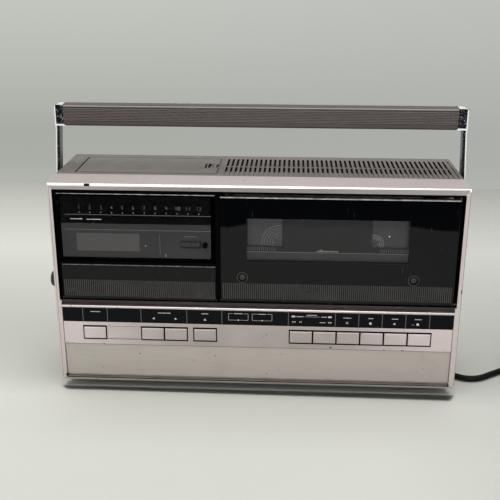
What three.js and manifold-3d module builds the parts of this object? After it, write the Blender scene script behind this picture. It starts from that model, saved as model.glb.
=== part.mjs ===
// A portable front-loading video cassette recorder with a carrying handle, as a three.js scene graph.
// Millimetres, +Z up. The front faces -Y, and +X is to the right of someone who looks at the front.
// The origin lies on the table under the middle of the casing. Inside the body group, y is the depth
// behind the front frame's face and z is the height above the front frame's lower edge.
import * as THREE from "three";
import { ConvexGeometry } from "three/addons/geometries/ConvexGeometry.js";
import { mergeVertices } from "three/addons/utils/BufferGeometryUtils.js";
import Module from "manifold-3d";

const wasm = await Module();
wasm.setup();

// Clearances
const seam = 0.3; // between two pieces that touch
const overrun = 4; // how far a cutter runs past the face that it cuts
const bearingPlay = 0.3; // round a pin or shaft in its hole

// Front frame
const bezelWidth = 403.2;
const bezelHeight = 209.1; // of its upright face
const bezelDepth = 13.2;
const bezelRise = 7.1; // how far the sloping top climbs on its way back
const bezelSideBar = 5.5;
const bezelTopBar = 5.7;
const bezelLip = 3;
const bezelShell = 2.4; // wall of the sloping top

// Casing
const casingSideInset = 4.2; // of each side from the front frame's edge
const casingDepth = 95;
const casingWall = 2.2;
const casingCorner = 3;
const footHeight = 8;
const footRadius = 9;
const footTaper = 2;
const footInset = 21; // from the casing's side and back faces
const footScrewRadius = 2.5;
const panWall = 2;
const panFlange = 10;

// Louvres in the top cover
const ventCount = 48;
const ventInset = 4.4; // from the left bay's right edge to the centre of the first slot
const ventSideGap = 5.75; // from the centre of the last slot to the casing's side
const ventWidth = 2.1;
const ventGrooveDepth = 0.8;
const ventFrontGap = 2.3; // from the front frame's back
const ventBackGap = 13; // from the casing's back
const ventRowGap = 5.4;
// Where the pierced rows start and part, as shares of a groove's length
const ventRowShares = { front: 0.26315789474, split: 0.53383458647 };

// Battery lid, its latch and the tray under it
const lidSideGap = 18.4; // from the casing's left side
const lidPostGap = 3.4; // from the left bay's right edge
const lidFrontGap = 7.3; // from the front frame's back
const lidBackGap = 12.7; // from the casing's back
const latchWidth = 12.4;
const latchLength = 17.6;
const latchFrontShare = 0.38187702265; // of the lid opening's length
const latchTravel = 1.7;
const latchDimpleRadius = 1.6;
const latchDimpleDepth = 1;
const trayWall = 1.6;
const trayLedge = 1.6; // that the lid rests on
const trayDepth = 30;

// Bands of the front below the doors, from the frame's lip up, as shares of their room
const bandShares = {
  lowerPanel: 0.43957345972,
  controlPanel: 0.29028436019,
  legendStrip: 0.17417061611,
  trimStrip: 0.09597156398,
};
const lowerPanelFace = 1.8;
const lowerPanelSlope = 0.9; // how much deeper its foot lies
const controlPanelFace = 0.8;
const legendStripFace = 1.4;
const trimReach = 0.8; // of the rounded nose in front of the frame
const trimNoseDepth = 2.55; // of the nose's round front
const trimNoseShare = 0.62962962963; // of the moulding's height
const panelThickness = 2;

// Push buttons
const buttonGap = 1.1;
// The wells, the row's centre and the shallow channel, as shares of the control panel's height
const buttonShares = { well: 0.60408163265, row: 0.52653061224, channel: 0.50612244898 };
const buttonReach = 1.6; // of a cap in front of the control panel
const buttonCapDepth = 3.2;
const buttonBevel = 1;
const buttonTravel = 2;
const buttonStemRadius = 2;
const buttonStemLength = 7;
const keyBedDepth = 4.4; // behind the control panel's plate
const keyBedWall = 1.2;
const keyBedFloor = 2;
const panelChannelDepth = 0.6; // shallow channel from the power button to the channel buttons
const recordSideBevel = 3.6;
// One button and the centres of the groups, as shares of the control panel's width
const buttonPitchShare = 0.06026557712;
const buttonGroupShares = {
  power: -0.41828396323,
  channel: -0.23723186925,
  eject: -0.13151174668,
  transport: 0.26583248212,
};

// Left bay: display window above, flip-down door below
const bayFace = 2.5; // depth of the windows and doors behind the frame
const bayDepth = 15.8;
const baySideCheek = 1.6;
const bayPostCheek = 4;
const bayCheekReach = 3; // how far the cheeks stand in front of the pockets
const bayPocketWall = 4.8;
const bayFloor = 1.6;
const windowThickness = 2.7;
const displayTopGap = 3.2; // under the frame's top bar
const flipDoorShare = 0.33815551537; // of the cassette door's height
const flipDoorThickness = 3;
const bayRail = 3; // between the display window and the flip door
const ribPitch = 2;
const ribGrooveWidth = 1;
const ribGrooveDepth = 0.7;
const flipRibBottom = 3.6; // above the door's foot
const flipRibHeight = 17.6;
const hingePinRadius = 1.1;

// Display board behind its window
const boardThickness = 1.6;
const displayBoardDepth = 9;
const displayBoardInset = 1;
// Insets from the left and widths, as shares of the left bay's width
const bayShares = {
  clockInset: 0.12765957447,
  clockWidth: 0.39048811014,
  scaleInset: 0.13642052566,
  scaleWidth: 0.80100125156,
};
const clockRise = 10.4; // above the display window's lower edge
const clockHeight = 19.2;
const clockDepth = 2.4;
const scaleDrop = 21.2; // of its lower edge under the display window's upper edge
const scaleHeight = 11.5;
const scaleDepth = 1.6;
const counterInset = 28.9; // from the left bay's right edge
const counterRise = 17.6; // above the display window's lower edge
const counterLength = 19;
const counterRadius = 5.2;
const counterShaftRadius = 1;
const counterEarWidth = 1.4;
const counterEarHeight = 6;
const counterEarReach = 2; // behind the counter's axis
const resetInset = 14.5; // from the left bay's right edge
const resetRadius = 2.4;
const resetReach = 1; // in front of the display window
const resetTravel = 1;
const standoffRadius = 3;
const standoffInsetX = 14;
const standoffInsetZ = 5;

// Tracking knob behind the flip door
const knobInset = 34; // from the left bay's right edge
const knobRadius = 7;
const knobDepth = 8;
const knobShaftRadius = 1.5;
const knobFlutes = 16;
const knobFluteRadius = 0.9;

// Cassette door
const doorGap = 0.8; // from the left bay
const doorSideGap = 2; // from the ends of the panels
const doorTopGap = 3.6; // under the frame's top bar
const doorOverCassette = 6.6; // by which the door is higher
const doorThickness = 4;
const doorHingeRadius = 2;
const lensLeftInset = 25.9; // from the door's edges
const lensRightInset = 46.3;
const lensBottomInset = 44;
const lensTopInset = 22.9;
const lensThickness = 2;
const lensLedge = 2;
const doorRibBottom = 3.9;
const doorRibHeight = 16.8;
const doorScrewRadius = 4.7;
const doorScrewDepth = 1.6;
const doorScrewLeftInset = 21.4; // from the door's edges
const doorScrewRightInset = 39.8;
const doorScrewRise = 26.8;

// Cassette and its holder
const cassetteWidth = 188;
// Proportions of a cassette, as shares of its width. The windows' sides are measured from its
// middle and their upper edge from the hub centres
const cassetteShares = {
  height: 0.55319148936,
  hubSpacing: 0.48936170213,
  hubHeight: 0.32712765957,
  windowInner: 0.23244680851,
  windowOuter: 0.41276595745,
  windowTop: 0.15159574468,
  flange: 0.20957446809,
  supplyPack: 0.14361702128,
  takeupPack: 0.1914893617,
};
const cassetteThickness = 25;
const cassetteLeftGap = 9.6; // from the door's edges
const cassetteRightGap = 31.4;
const cassetteCorner = 2;
const cassetteWall = 1.8;
const cassetteWindowBottom = 0.5; // below the hub centres
const hubHoleRadius = 14.5;
const reelFlange = 0.9;
const reelEndPlay = 0.5;
const reelHubRadius = 15;
const reelBoreRadius = 12.5;
const reelBoreShare = 0.78431372549; // of the reel's depth
const holderSheet = 1.2;
const holderPlay = 0.5; // beside the cassette
const holderLip = 8;
const holderHubRadius = 17;
const holderShelf = 26;
const holderNotchHalf = 29;
const holderNotchHeight = 23;

// Deck
const chassisGap = 5.2; // behind the cassette
const chassisSheet = 1.5;
const chassisPostGap = 3; // from the left bay's right edge
const chassisSideGap = 4.4; // from the casing's right side
const chassisTopGap = 3.4; // under the frame's top bar
const chassisFlange = 12;
const spindleCollarRadius = 11;
const spindleCollar = 2.2;
const spindleBarrelRadius = 8.5;
const spindleTipRadius = 4;
const spindleReach = 14.7; // of the tip in front of the chassis
const spindleTaper = 2.6;
const spindleShaftRadius = 3;
const spindleTail = 6; // of the shaft behind the chassis
const spindleFins = 3;
const spindleFinWidth = 2.4;
const spindleFinReach = 1.4;
// Radius and height of the head drum, as shares of the height under the doors
const drumShares = { radius: 0.3487064117, height: 0.49493813273 };
const drumTiltDegrees = 5.9;
const drumFace = 15;
const drumSplit = 26;
const drumRim = 2.5;
const drumRimDepth = 3;
const drumBossShare = 0.29032258065; // of the drum's radius
const capstanOffset = 71.6; // to the right of the cassette's middle
const capstanDrop = 8.9; // below the doors
const capstanRadius = 2;
const capstanFront = 12;
const flywheelRadius = 24;
const flywheelThickness = 6;
const flywheelRim = 5;
const flywheelDish = 2;
const statorRadius = 27;
const statorThickness = 7;
const statorPostRadius = 2.5;
const statorPosts = 3;
const pinchOffset = 97.6; // to the right of the cassette's middle
const pinchDrop = 26.9; // below the doors
const pinchArmLength = 24;
const pinchRestDegrees = 170.3; // direction of the arm from its pivot, from +X towards +Z
const pinchArmThickness = 2;
const pinchArmWidth = 9;
const pinchPinRadius = 1.5;
const pinchRollerRadius = 6.5;
const pinchRollerLength = 16;
const pinchCapDepth = 1;

// Board and transformer
const mainBoardGap = 23.5; // behind the chassis's face
const mainBoardLeftGap = 15; // from the transformer
const mainBoardRightGap = 43; // from the chassis's right edge
const mainBoardTopGap = 44.2; // under the casing's top
const chipWidth = 26;
const chipHeight = 9;
const chipDepth = 4;
const chipColumns = 4;
const chipRows = 3;
const transformerInset = 59.4; // from the casing's left side
const transformerWidth = 54;
const transformerHeight = 46;
const transformerDepth = 38;
const transformerBackGap = 10.5; // from the cover's back edge
const transformerCoilWidth = 30;
const transformerCoilReach = 7;
const transformerCoilCorner = 6;

// Rear cover
const rearVentCount = 12;
const rearVentPitch = 8;
const rearVentWidth = 3;
const rearVentHeight = 34;
const rearVentDrop = 76.2; // of the slots' lower ends under the casing's top
const rearVentInset = 157.4; // from the casing's right side
const rearFlange = 7;
const jackBayInset = 47.4; // from the casing's left side
const jackBayWidth = 96;
const jackBayBottom = 70;
const jackBayHeight = 38;
const jackBayDepth = 8;
const jackRadius = 4.2;
const jackColumns = 4;
const jackRows = 2;

// Handle
const armGap = 2.2; // between an arm and the casing's side
const armThickness = 3.9;
const armDepth = 11.5;
const armEyeRadius = 9;
const pivotDrop = 26.2; // under the casing's top
const pivotShaftRadius = 4;
const pivotHeadRadius = 8.5;
const pivotHead = 4.4;
const pivotCollarRadius = 7;
const gripEndGap = 10.5; // from the arms' outer faces
const gripRise = 62.8; // of its top above the casing's top
const gripHeight = 21.5;
const gripDepth = 16;
const gripCorner = 2;
const gripRibs = 7;
const gripRibPitch = 1.9;
const gripRibDepth = 0.6;
const gripRibTop = 3.4; // below the grip's top
const blockDrop = 4; // of the end blocks under the grip's top
const blockHeight = 19;
const blockDepth = 14;
const blockCorner = 3;
const blockLip = 1.2;
const blockLipReach = 2.4; // under the grip
const gripTenon = 5; // that each end block pushes into the grip
const gripTenonHeight = 9;
const gripTenonDepth = 7;

// Cap on the left side's socket
const sideCapRadius = 8.2;
const sideCapReach = 12.8;
const sideCapRound = 3;
const sideCapDepth = 22;
const sideCapRise = 14.6; // above the doors' lower line
const sideCapStemRadius = 3;
const sideCapStem = 6;

// Mains cord. Points of its free stretch, measured from the casing's right side, from its back
// and from the table
const cordDiameter = 6;
const cordSides = 10;
const cordSteps = 22;
const cordLift = 0.3;
const reliefFlangeRadius = 7.5;
const reliefFlange = 1.7;
const reliefNose = 10.5;
const reliefNoseRadius = 5.8; // beside the flange
const reliefNoseEndRadius = 4.4;
const reliefStemRadius = 5.2;
const reliefStem = 7.5;
const reliefRingDepth = 0.7;
const cordRoute = [
  [-41.4, 12.8, 22],
  [-41.4, 15.8, 22],
  [-41.4, 18.8, 22],
  [-39.5, 28.4, 21.6],
  [-34.1, 36.5, 20.3],
  [-26, 41.9, 18.5],
  [-16.4, 43.8, 16.3],
  [-6.8, 41.9, 13.8],
  [1.3, 36.5, 11.2],
  [6.7, 28.4, 8.7],
  [8.6, 18.8, 6.5],
  [8.6, 7, 4.5],
  [8.2, -3, 3.5],
  [7.3, -13, 3.3],
  [5.8, -23, 3.3],
  [4.5, -32, 3.3],
  [3.8, -39.2, 3.3],
  [5.4, -47.8, 3.3],
  [9.9, -55.2, 3.3],
  [16.7, -60.6, 3.3],
  [25.1, -63.2, 3.3],
  [33.8, -62.7, 3.3],
  [41.7, -59.1, 3.3],
  [52.1, -51.8, 3.3],
  [63.9, -43.8, 3.3],
  [67.8, -40.7, 3.3],
  [71.2, -37, 3.3],
  [74, -32.8, 3.3],
  [75.5, -30.2, 3.3],
  [77, -27.6, 3.3],
];

// Coil of the cord that lies beside the recorder, wound clockwise in four layers
const coilSideGap = 114.6; // of its middle, to the right of the casing
const coilBackGap = 42; // of its middle, in front of the casing's back
const coilMiddleRadius = 33.5;
const coilTurnPitch = 6.8;
const coilLayerPitch = 6.5;
const coilLayers = 4;
const coilStartDegrees = 150;
const coilTurns = 7 + 1 / 6;
const coilSteps = 24;
const coilSides = 6;
const tailDrop = 50;
const tailSteps = 8;
const plugAxis = 7.2; // height above the table
const plugLength = 30;
const plugWidth = 22;
const plugHeight = 13.4;
const plugNeckWidth = 11;
const bladeLength = 17;
const bladeWidth = 6.3;
const bladeThickness = 1.5;
const bladeSpacing = 12.7;

// Facets of round pieces
const fineSides = 28;
const plainSides = 16;
const smallSides = 8;
const arcSteps = 4;

// Sizes that follow: casing and opening
const casingTop = bezelHeight + bezelRise;
const casingHalf = bezelWidth / 2 - casingSideInset;
const openingHalf = bezelWidth / 2 - bezelSideBar;
const openingTop = bezelHeight - bezelTopBar;
const panelHalf = openingHalf - seam;
const coverFront = bezelDepth + seam;
const coverBack = casingDepth - casingWall - seam;

// Cassette and its door
const cassetteHeight = cassetteWidth * cassetteShares.height;
const hubSpacing = cassetteWidth * cassetteShares.hubSpacing;
const cassetteWindowInner = cassetteWidth * cassetteShares.windowInner;
const cassetteWindowOuter = cassetteWidth * cassetteShares.windowOuter;
const cassetteWindowTop = cassetteWidth * cassetteShares.windowTop;
const reelFlangeRadius = cassetteWidth * cassetteShares.flange;
const supplyPackRadius = cassetteWidth * cassetteShares.supplyPack;
const takeupPackRadius = cassetteWidth * cassetteShares.takeupPack;
const doorRight = panelHalf - doorSideGap;
const doorLeft = doorRight - cassetteRightGap - cassetteWidth - cassetteLeftGap;
const doorHeight = cassetteHeight + doorOverCassette;
const doorTop = openingTop - doorTopGap;
const doorBottom = doorTop - doorHeight;
const doorRowBottom = doorBottom - seam;
const doorBack = bayFace + doorThickness;
const doorHingeY = bayFace + doorHingeRadius;
const doorHingeZ = doorBottom + doorHingeRadius;
const lensLeft = doorLeft + lensLeftInset;
const lensRight = doorRight - lensRightInset;
const lensBottom = doorBottom + lensBottomInset;
const lensTop = doorTop - lensTopInset;
const doorScrewLeft = doorLeft + doorScrewLeftInset;
const doorScrewRight = doorRight - doorScrewRightInset;
const doorScrewZ = doorBottom + doorScrewRise;

const cassetteHalf = cassetteWidth / 2;
const cassetteCentre = doorLeft + cassetteLeftGap + cassetteHalf;
const cassetteBottom = doorRowBottom + seam / 2;
const cassetteFront = doorBack + seam + holderSheet + seam;
const cassetteBack = cassetteFront + cassetteThickness;
const hubZ = cassetteBottom + cassetteWidth * cassetteShares.hubHeight;
const hubLeft = cassetteCentre - hubSpacing / 2;
const hubRight = cassetteCentre + hubSpacing / 2;
const holderBack = cassetteBack + seam;
const reelFront = cassetteFront + cassetteWall + reelEndPlay;
const reelBack = cassetteBack - cassetteWall - reelEndPlay;
const reelBoreDepth = (reelBack - reelFront) * reelBoreShare;

// Bands and buttons
const lowerPanelBottom = bezelLip + seam;
const bandSeams = Object.keys(bandShares).length * seam;
const bandRoom = doorRowBottom - lowerPanelBottom - bandSeams;
const lowerPanelHeight = bandRoom * bandShares.lowerPanel;
const controlPanelHeight = bandRoom * bandShares.controlPanel;
const legendStripHeight = bandRoom * bandShares.legendStrip;
const trimStripHeight = bandRoom * bandShares.trimStrip;
const controlPanelBottom = lowerPanelBottom + lowerPanelHeight + seam;
const legendStripBottom = controlPanelBottom + controlPanelHeight + seam;
const trimStripBottom = legendStripBottom + legendStripHeight + seam;
const trimNoseHeight = trimStripHeight * trimNoseShare;
const buttonWellHeight = controlPanelHeight * buttonShares.well;
const buttonRow = controlPanelBottom + controlPanelHeight * buttonShares.row;
const panelChannelHeight = controlPanelHeight * buttonShares.channel;
const panelWidth = 2 * panelHalf;
const buttonPitch = panelWidth * buttonPitchShare;
const powerCentre = panelWidth * buttonGroupShares.power;
const channelCentre = panelWidth * buttonGroupShares.channel;
const ejectCentre = panelWidth * buttonGroupShares.eject;
const transportCentre = panelWidth * buttonGroupShares.transport;

// Left bay
const bayLeft = -panelHalf;
const bayRight = doorLeft - doorGap;
const bayWidth = bayRight - bayLeft;
const bayBlockLeft = seam + casingWall - casingHalf;
const bayTop = openingTop - seam;
const cheekFront = bayFace + seam;
const pocketFront = cheekFront + bayCheekReach;
const bayBack = cheekFront + bayDepth;
const flipDoorLeft = bayLeft + baySideCheek + seam;
const flipDoorRight = bayRight - bayPostCheek - seam;
const flipDoorBottom = doorRowBottom + seam;
const flipDoorTop = flipDoorBottom + doorHeight * flipDoorShare;
const displayBottom = flipDoorTop + bayRail + 2 * seam;
const displayTop = openingTop - displayTopGap;
const flipHingeRadius = flipDoorThickness / 2;
const flipHingeY = bayFace + flipHingeRadius;
const flipHingeZ = flipDoorBottom + flipHingeRadius;
const pocketBack = bayBack - bayFloor;
const clockLeft = bayLeft + bayWidth * bayShares.clockInset;
const clockWidth = bayWidth * bayShares.clockWidth;
const clockBottom = displayBottom + clockRise;
const scaleLeft = bayLeft + bayWidth * bayShares.scaleInset;
const scaleWidth = bayWidth * bayShares.scaleWidth;
const scaleBottom = displayTop - scaleDrop;
const counterX = bayRight - counterInset;
const counterZ = displayBottom + counterRise;
const counterAxisY = bayFace + windowThickness + 2 * seam + counterRadius;
const resetX = bayRight - resetInset;
const knobX = bayRight - knobInset;
const knobZ = (flipDoorBottom + flipDoorTop) / 2 - bayFloor;

// Top of the casing
const lidLeft = lidSideGap - casingHalf;
const lidRight = bayRight - lidPostGap;
const lidFront = bezelDepth + lidFrontGap;
const lidBack = casingDepth - lidBackGap;
const lidTop = casingTop;
const lidBottom = lidTop - casingWall;
const trayTop = lidBottom - seam;
const latchLeft = lidRight - latchWidth - seam;
const latchFront = lidFront + (lidBack - lidFront) * latchFrontShare;
const ventLeft = bayRight + ventInset;
const ventPitch = (casingHalf - ventSideGap - ventLeft) / (ventCount - 1);
const ventGrooveFront = bezelDepth + ventFrontGap;
const ventBack = casingDepth - ventBackGap;
const ventFrontRow = ventGrooveFront + (ventBack - ventGrooveFront) * ventRowShares.front;
const ventRowSplit = ventGrooveFront + (ventBack - ventGrooveFront) * ventRowShares.split;

// Deck, board, transformer and rear cover
const chassisFace = cassetteBack + chassisGap;
const chassisLeft = bayRight + chassisPostGap;
const chassisRight = casingHalf - chassisSideGap;
const chassisTop = openingTop - chassisTopGap;
const drumRadius = doorRowBottom * drumShares.radius;
const drumZ = doorRowBottom * drumShares.height;
const drumBoss = drumRadius * drumBossShare;
const capstanX = cassetteCentre + capstanOffset;
const capstanZ = doorRowBottom - capstanDrop;
const pinchPivotX = cassetteCentre + pinchOffset;
const pinchPivotZ = doorRowBottom - pinchDrop;
const transformerX = transformerInset - casingHalf;
const transformerFront = coverBack - transformerBackGap - transformerDepth;
const mainBoardDepth = chassisFace + mainBoardGap;
const mainBoardLeft = transformerX + transformerWidth / 2 + mainBoardLeftGap;
const mainBoardRight = chassisRight - mainBoardRightGap;
const mainBoardTop = casingTop - mainBoardTopGap;
const rearVentBottom = casingTop - rearVentDrop;
const rearVentLeft = casingHalf - rearVentInset;
const jackBayLeft = jackBayInset - casingHalf;
const sideCapZ = doorRowBottom + sideCapRise;

// Handle
const armInner = casingHalf + armGap;
const armOuter = armInner + armThickness;
const handleDepth = casingDepth / 2;
const pivotZ = casingTop - pivotDrop;
const gripHalf = armOuter - gripEndGap;
const gripTop = casingTop + gripRise;
const blockTop = gripTop - blockDrop;

// Cord
const cordPath = cordRoute.map(([side, behind, height]) => [
  casingHalf + side,
  casingDepth + behind,
  height,
]);
const coilX = casingHalf + coilSideGap;
const coilDepth = casingDepth - coilBackGap;

// Materials
const finish = (color, roughness, metalness) =>
  new THREE.MeshStandardMaterial({ color, roughness, metalness });
const champagne = () => finish(0xc8bebe, 0.38, 0.55);
const panelSilver = () => finish(0xafa8a0, 0.42, 0.5);
const coverPaint = () => finish(0x827a76, 0.5, 0.1);
const glossBlack = () => finish(0x101211, 0.12, 0);
const mattBlack = () => finish(0x171717, 0.6, 0);
const smoked = () => finish(0x23282a, 0.08, 0);
const chrome = () => finish(0xb8b8bc, 0.18, 1);
const steel = () => finish(0x9a9c98, 0.35, 0.9);
const rubber = () => finish(0x151515, 0.85, 0);
const gripPlastic = () => finish(0x695858, 0.55, 0);
const whitePlastic = () => finish(0xdcdcd6, 0.5, 0);
const boardGreen = () => finish(0x2e6a3c, 0.6, 0);

// A closed geometry as a solid that can be joined and cut
function solid(geometry) {
  const bare = new THREE.BufferGeometry();
  bare.setAttribute("position", geometry.getAttribute("position"));
  if (geometry.index) bare.setIndex(geometry.index);
  const welded = mergeVertices(bare);
  const corners = welded.index.array;
  const kept = [];
  for (let i = 0; i < corners.length; i += 3) {
    const [a, b, c] = corners.slice(i, i + 3);
    if (a !== b && b !== c && c !== a) kept.push(a, b, c);
  }
  return new wasm.Manifold(
    new wasm.Mesh({
      numProp: 3,
      vertProperties: new Float32Array(welded.attributes.position.array),
      triVerts: new Uint32Array(kept),
    }),
  );
}

const joined = (...solids) => solids.reduce((all, next) => all.add(next));
const cut = (body, ...tools) => tools.reduce((left, tool) => left.subtract(tool), body);

// A named mesh of a solid, smooth shading left out because every face is flat
function piece(name, body, material) {
  const made = body.getMesh();
  const geometry = new THREE.BufferGeometry();
  geometry.setAttribute("position", new THREE.BufferAttribute(made.vertProperties, 3));
  geometry.setIndex(new THREE.BufferAttribute(made.triVerts, 1));
  const flat = geometry.toNonIndexed();
  flat.computeVertexNormals();
  const mesh = new THREE.Mesh(flat, material);
  mesh.name = name;
  return mesh;
}

// A box between two stations on each axis
function box(x0, x1, y0, y1, z0, z1) {
  const geometry = new THREE.BoxGeometry(x1 - x0, y1 - y0, z1 - z0);
  return solid(geometry.translate((x0 + x1) / 2, (y0 + y1) / 2, (z0 + z1) / 2));
}

const outline = (points) => new THREE.Shape(points.map(([a, b]) => new THREE.Vector2(a, b)));
const rectangle = (a0, a1, b0, b1) => outline([[a0, b0], [a1, b0], [a1, b1], [a0, b1]]);

function roundedRectangle(a0, a1, b0, b1, radius) {
  const shape = new THREE.Shape();
  shape.absarc(a1 - radius, b0 + radius, radius, -Math.PI / 2, 0);
  shape.absarc(a1 - radius, b1 - radius, radius, 0, Math.PI / 2);
  shape.absarc(a0 + radius, b1 - radius, radius, Math.PI / 2, Math.PI);
  shape.absarc(a0 + radius, b0 + radius, radius, Math.PI, 1.5 * Math.PI);
  return shape;
}

const prism = (shapes, depth) =>
  new THREE.ExtrudeGeometry(shapes, { depth, bevelEnabled: false, curveSegments: arcSteps });

// Plan outlines (x, y) raised from z0 to z1
const raised = (shapes, z0, z1) => solid(prism(shapes, z1 - z0).translate(0, 0, z0));

// Front outlines (x, z) run back from y0 to y1
const runBack = (shapes, y0, y1) =>
  solid(prism(shapes, y1 - y0).rotateX(Math.PI / 2).translate(0, y1, 0));

// Side outlines (y, z) run across from x0 to x1
const acrossTurn = new THREE.Matrix4().makeBasis(
  new THREE.Vector3(0, 1, 0),
  new THREE.Vector3(0, 0, 1),
  new THREE.Vector3(1, 0, 0),
);
const runAcross = (shapes, x0, x1) =>
  solid(prism(shapes, x1 - x0).applyMatrix4(acrossTurn).translate(x0, 0, 0));

// A profile of (radius, station) pairs turned about the axis along Y through (x, z)
function turnedBack(profile, x, z, sides) {
  const points = profile.map(([radius, station]) => new THREE.Vector2(radius, station));
  return solid(new THREE.LatheGeometry(points, sides).translate(x, 0, z));
}

// The same about the axis along X through (y, z)
function turnedAcross(profile, y, z, sides) {
  const points = profile.map(([radius, station]) => new THREE.Vector2(radius, station));
  return solid(new THREE.LatheGeometry(points, sides).rotateZ(-Math.PI / 2).translate(0, y, z));
}

const rodBack = (radius, y0, y1, x, z, sides = smallSides) =>
  turnedBack([[0, y0], [radius, y0], [radius, y1], [0, y1]], x, z, sides);
const rodAcross = (radius, x0, x1, y, z, sides = smallSides) =>
  turnedAcross([[0, x0], [radius, x0], [radius, x1], [0, x1]], y, z, sides);

function rodUp(radius, z0, z1, x, y, sides = smallSides) {
  const geometry = new THREE.CylinderGeometry(radius, radius, z1 - z0, sides);
  return solid(geometry.rotateX(Math.PI / 2).translate(x, y, (z0 + z1) / 2));
}

const hull = (points) => solid(new ConvexGeometry(points.map((p) => new THREE.Vector3(...p))));

// A block that tapers from one rectangle (x0, x1, z0, z1) at y0 to another at y1
function tapered(front, y0, back, y1) {
  const corners = ([x0, x1, z0, z1], y) =>
    [[x0, y, z0], [x1, y, z0], [x1, y, z1], [x0, y, z1]];
  return hull([...corners(front, y0), ...corners(back, y1)]);
}

// Front frame: a hollow moulding whose sides and top slope in to the casing's size
function frontBezel() {
  const bezelHalf = bezelWidth / 2;
  const body = tapered(
    [-bezelHalf, bezelHalf, 0, bezelHeight], 0,
    [-casingHalf, casingHalf, 0, casingTop], bezelDepth,
  );
  const opening = box(
    -openingHalf, openingHalf, -overrun, bezelDepth + overrun, bezelLip, openingTop,
  );
  const rise = bezelRise / bezelDepth;
  const roofAt = (y) => bezelHeight + rise * y - bezelShell;
  const atticBack = bezelDepth + overrun;
  const attic = runAcross(
    outline([
      [bezelShell, openingTop - seam],
      [atticBack, openingTop - seam],
      [atticBack, roofAt(atticBack)],
      [bezelShell, roofAt(bezelShell)],
    ]),
    -openingHalf, openingHalf,
  );
  const hingeHole = rodAcross(
    hingePinRadius + bearingPlay, openingHalf - overrun, openingHalf + bezelSideBar / 2,
    doorHingeY, doorHingeZ,
  );
  return piece("front_bezel", cut(body, opening, attic, hingeHole), champagne());
}

const slotAt = (i) => ventLeft + i * ventPitch;

// Top cover: a bent shell with pierced louvres, the lid's opening and holes for the side pieces
function topCover() {
  const inner = casingHalf - casingWall;
  const arch = new THREE.Shape();
  const foot = panWall + seam;
  arch.moveTo(-casingHalf, foot);
  arch.lineTo(-inner, foot);
  arch.lineTo(-inner, casingTop - casingWall);
  arch.lineTo(inner, casingTop - casingWall);
  arch.lineTo(inner, foot);
  arch.lineTo(casingHalf, foot);
  arch.absarc(casingHalf - casingCorner, casingTop - casingCorner, casingCorner, 0, Math.PI / 2);
  arch.absarc(
    casingCorner - casingHalf, casingTop - casingCorner, casingCorner, Math.PI / 2, Math.PI,
  );
  const shell = runBack(arch, coverFront, coverBack);
  const halfSlot = ventWidth / 2;
  const pierced = [];
  const grooves = [];
  for (let i = 0; i < ventCount; i++) {
    const x = slotAt(i);
    grooves.push(rectangle(x - halfSlot, x + halfSlot, ventGrooveFront, ventBack));
    if (i === ventCount - 1) continue;
    pierced.push(rectangle(x - halfSlot, x + halfSlot, ventFrontRow, ventRowSplit));
    pierced.push(rectangle(x - halfSlot, x + halfSlot, ventRowSplit + ventRowGap, ventBack));
  }
  const holes = raised(pierced, casingTop - casingWall - overrun, casingTop + overrun);
  const lines = raised(grooves, casingTop - ventGrooveDepth, casingTop + overrun);
  const lidOpening = box(
    lidLeft, lidRight, lidFront, lidBack, casingTop - casingWall - overrun, casingTop + overrun,
  );
  const capHole = rodAcross(
    sideCapStemRadius + bearingPlay, -casingHalf - overrun, overrun - casingHalf,
    sideCapDepth, sideCapZ,
  );
  return piece("top_cover", cut(shell, holes, lines, lidOpening, capHole), coverPaint());
}

// Rear cover: a plate with an inner flange, vent slots and a sunk bay for the sockets
function rearCover() {
  const plate = runBack(
    roundedRectangle(-casingHalf, casingHalf, 0, casingTop, casingCorner),
    casingDepth - casingWall, casingDepth,
  );
  const inner = casingHalf - casingWall - seam;
  const flangeBottom = panWall + panFlange / 2;
  const flangeTop = casingTop - casingWall - seam;
  const flangeFront = casingDepth - casingWall - rearFlange;
  const flange = cut(
    box(-inner, inner, flangeFront, casingDepth - casingWall, flangeBottom, flangeTop),
    box(
      -inner + casingWall, inner - casingWall, flangeFront - overrun, casingDepth,
      flangeBottom - overrun, flangeTop - casingWall,
    ),
  );
  const bayFrontY = casingDepth - jackBayDepth;
  const bayBox = box(
    jackBayLeft - casingWall, jackBayLeft + jackBayWidth + casingWall,
    bayFrontY - casingWall, casingDepth - casingWall,
    jackBayBottom - casingWall, jackBayBottom + jackBayHeight + casingWall,
  );
  const bayHollow = box(
    jackBayLeft, jackBayLeft + jackBayWidth, bayFrontY, casingDepth + overrun,
    jackBayBottom, jackBayBottom + jackBayHeight,
  );
  const vents = [];
  for (let i = 0; i < rearVentCount; i++) {
    const x = rearVentLeft + i * rearVentPitch;
    vents.push(rectangle(x, x + rearVentWidth, rearVentBottom, rearVentBottom + rearVentHeight));
  }
  const ventCut = runBack(vents, casingDepth - casingWall - overrun, casingDepth + overrun);
  const jacks = [];
  for (let column = 0; column < jackColumns; column++) {
    for (let row = 0; row < jackRows; row++) {
      const x = jackBayLeft + (jackBayWidth * (column + 0.5)) / jackColumns;
      const z = jackBayBottom + (jackBayHeight * (row + 0.5)) / jackRows;
      jacks.push(rodBack(jackRadius, bayFrontY - casingWall - overrun, casingDepth, x, z));
    }
  }
  const [reliefX, , reliefHeight] = cordPath[0];
  const reliefHole = rodBack(
    reliefStemRadius + bearingPlay, casingDepth - casingWall - overrun, casingDepth + overrun,
    reliefX, reliefHeight - footHeight, plainSides,
  );
  const body = cut(joined(plate, flange, bayBox), bayHollow, ventCut, reliefHole, ...jacks);
  return piece("rear_cover", body, coverPaint());
}

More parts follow.
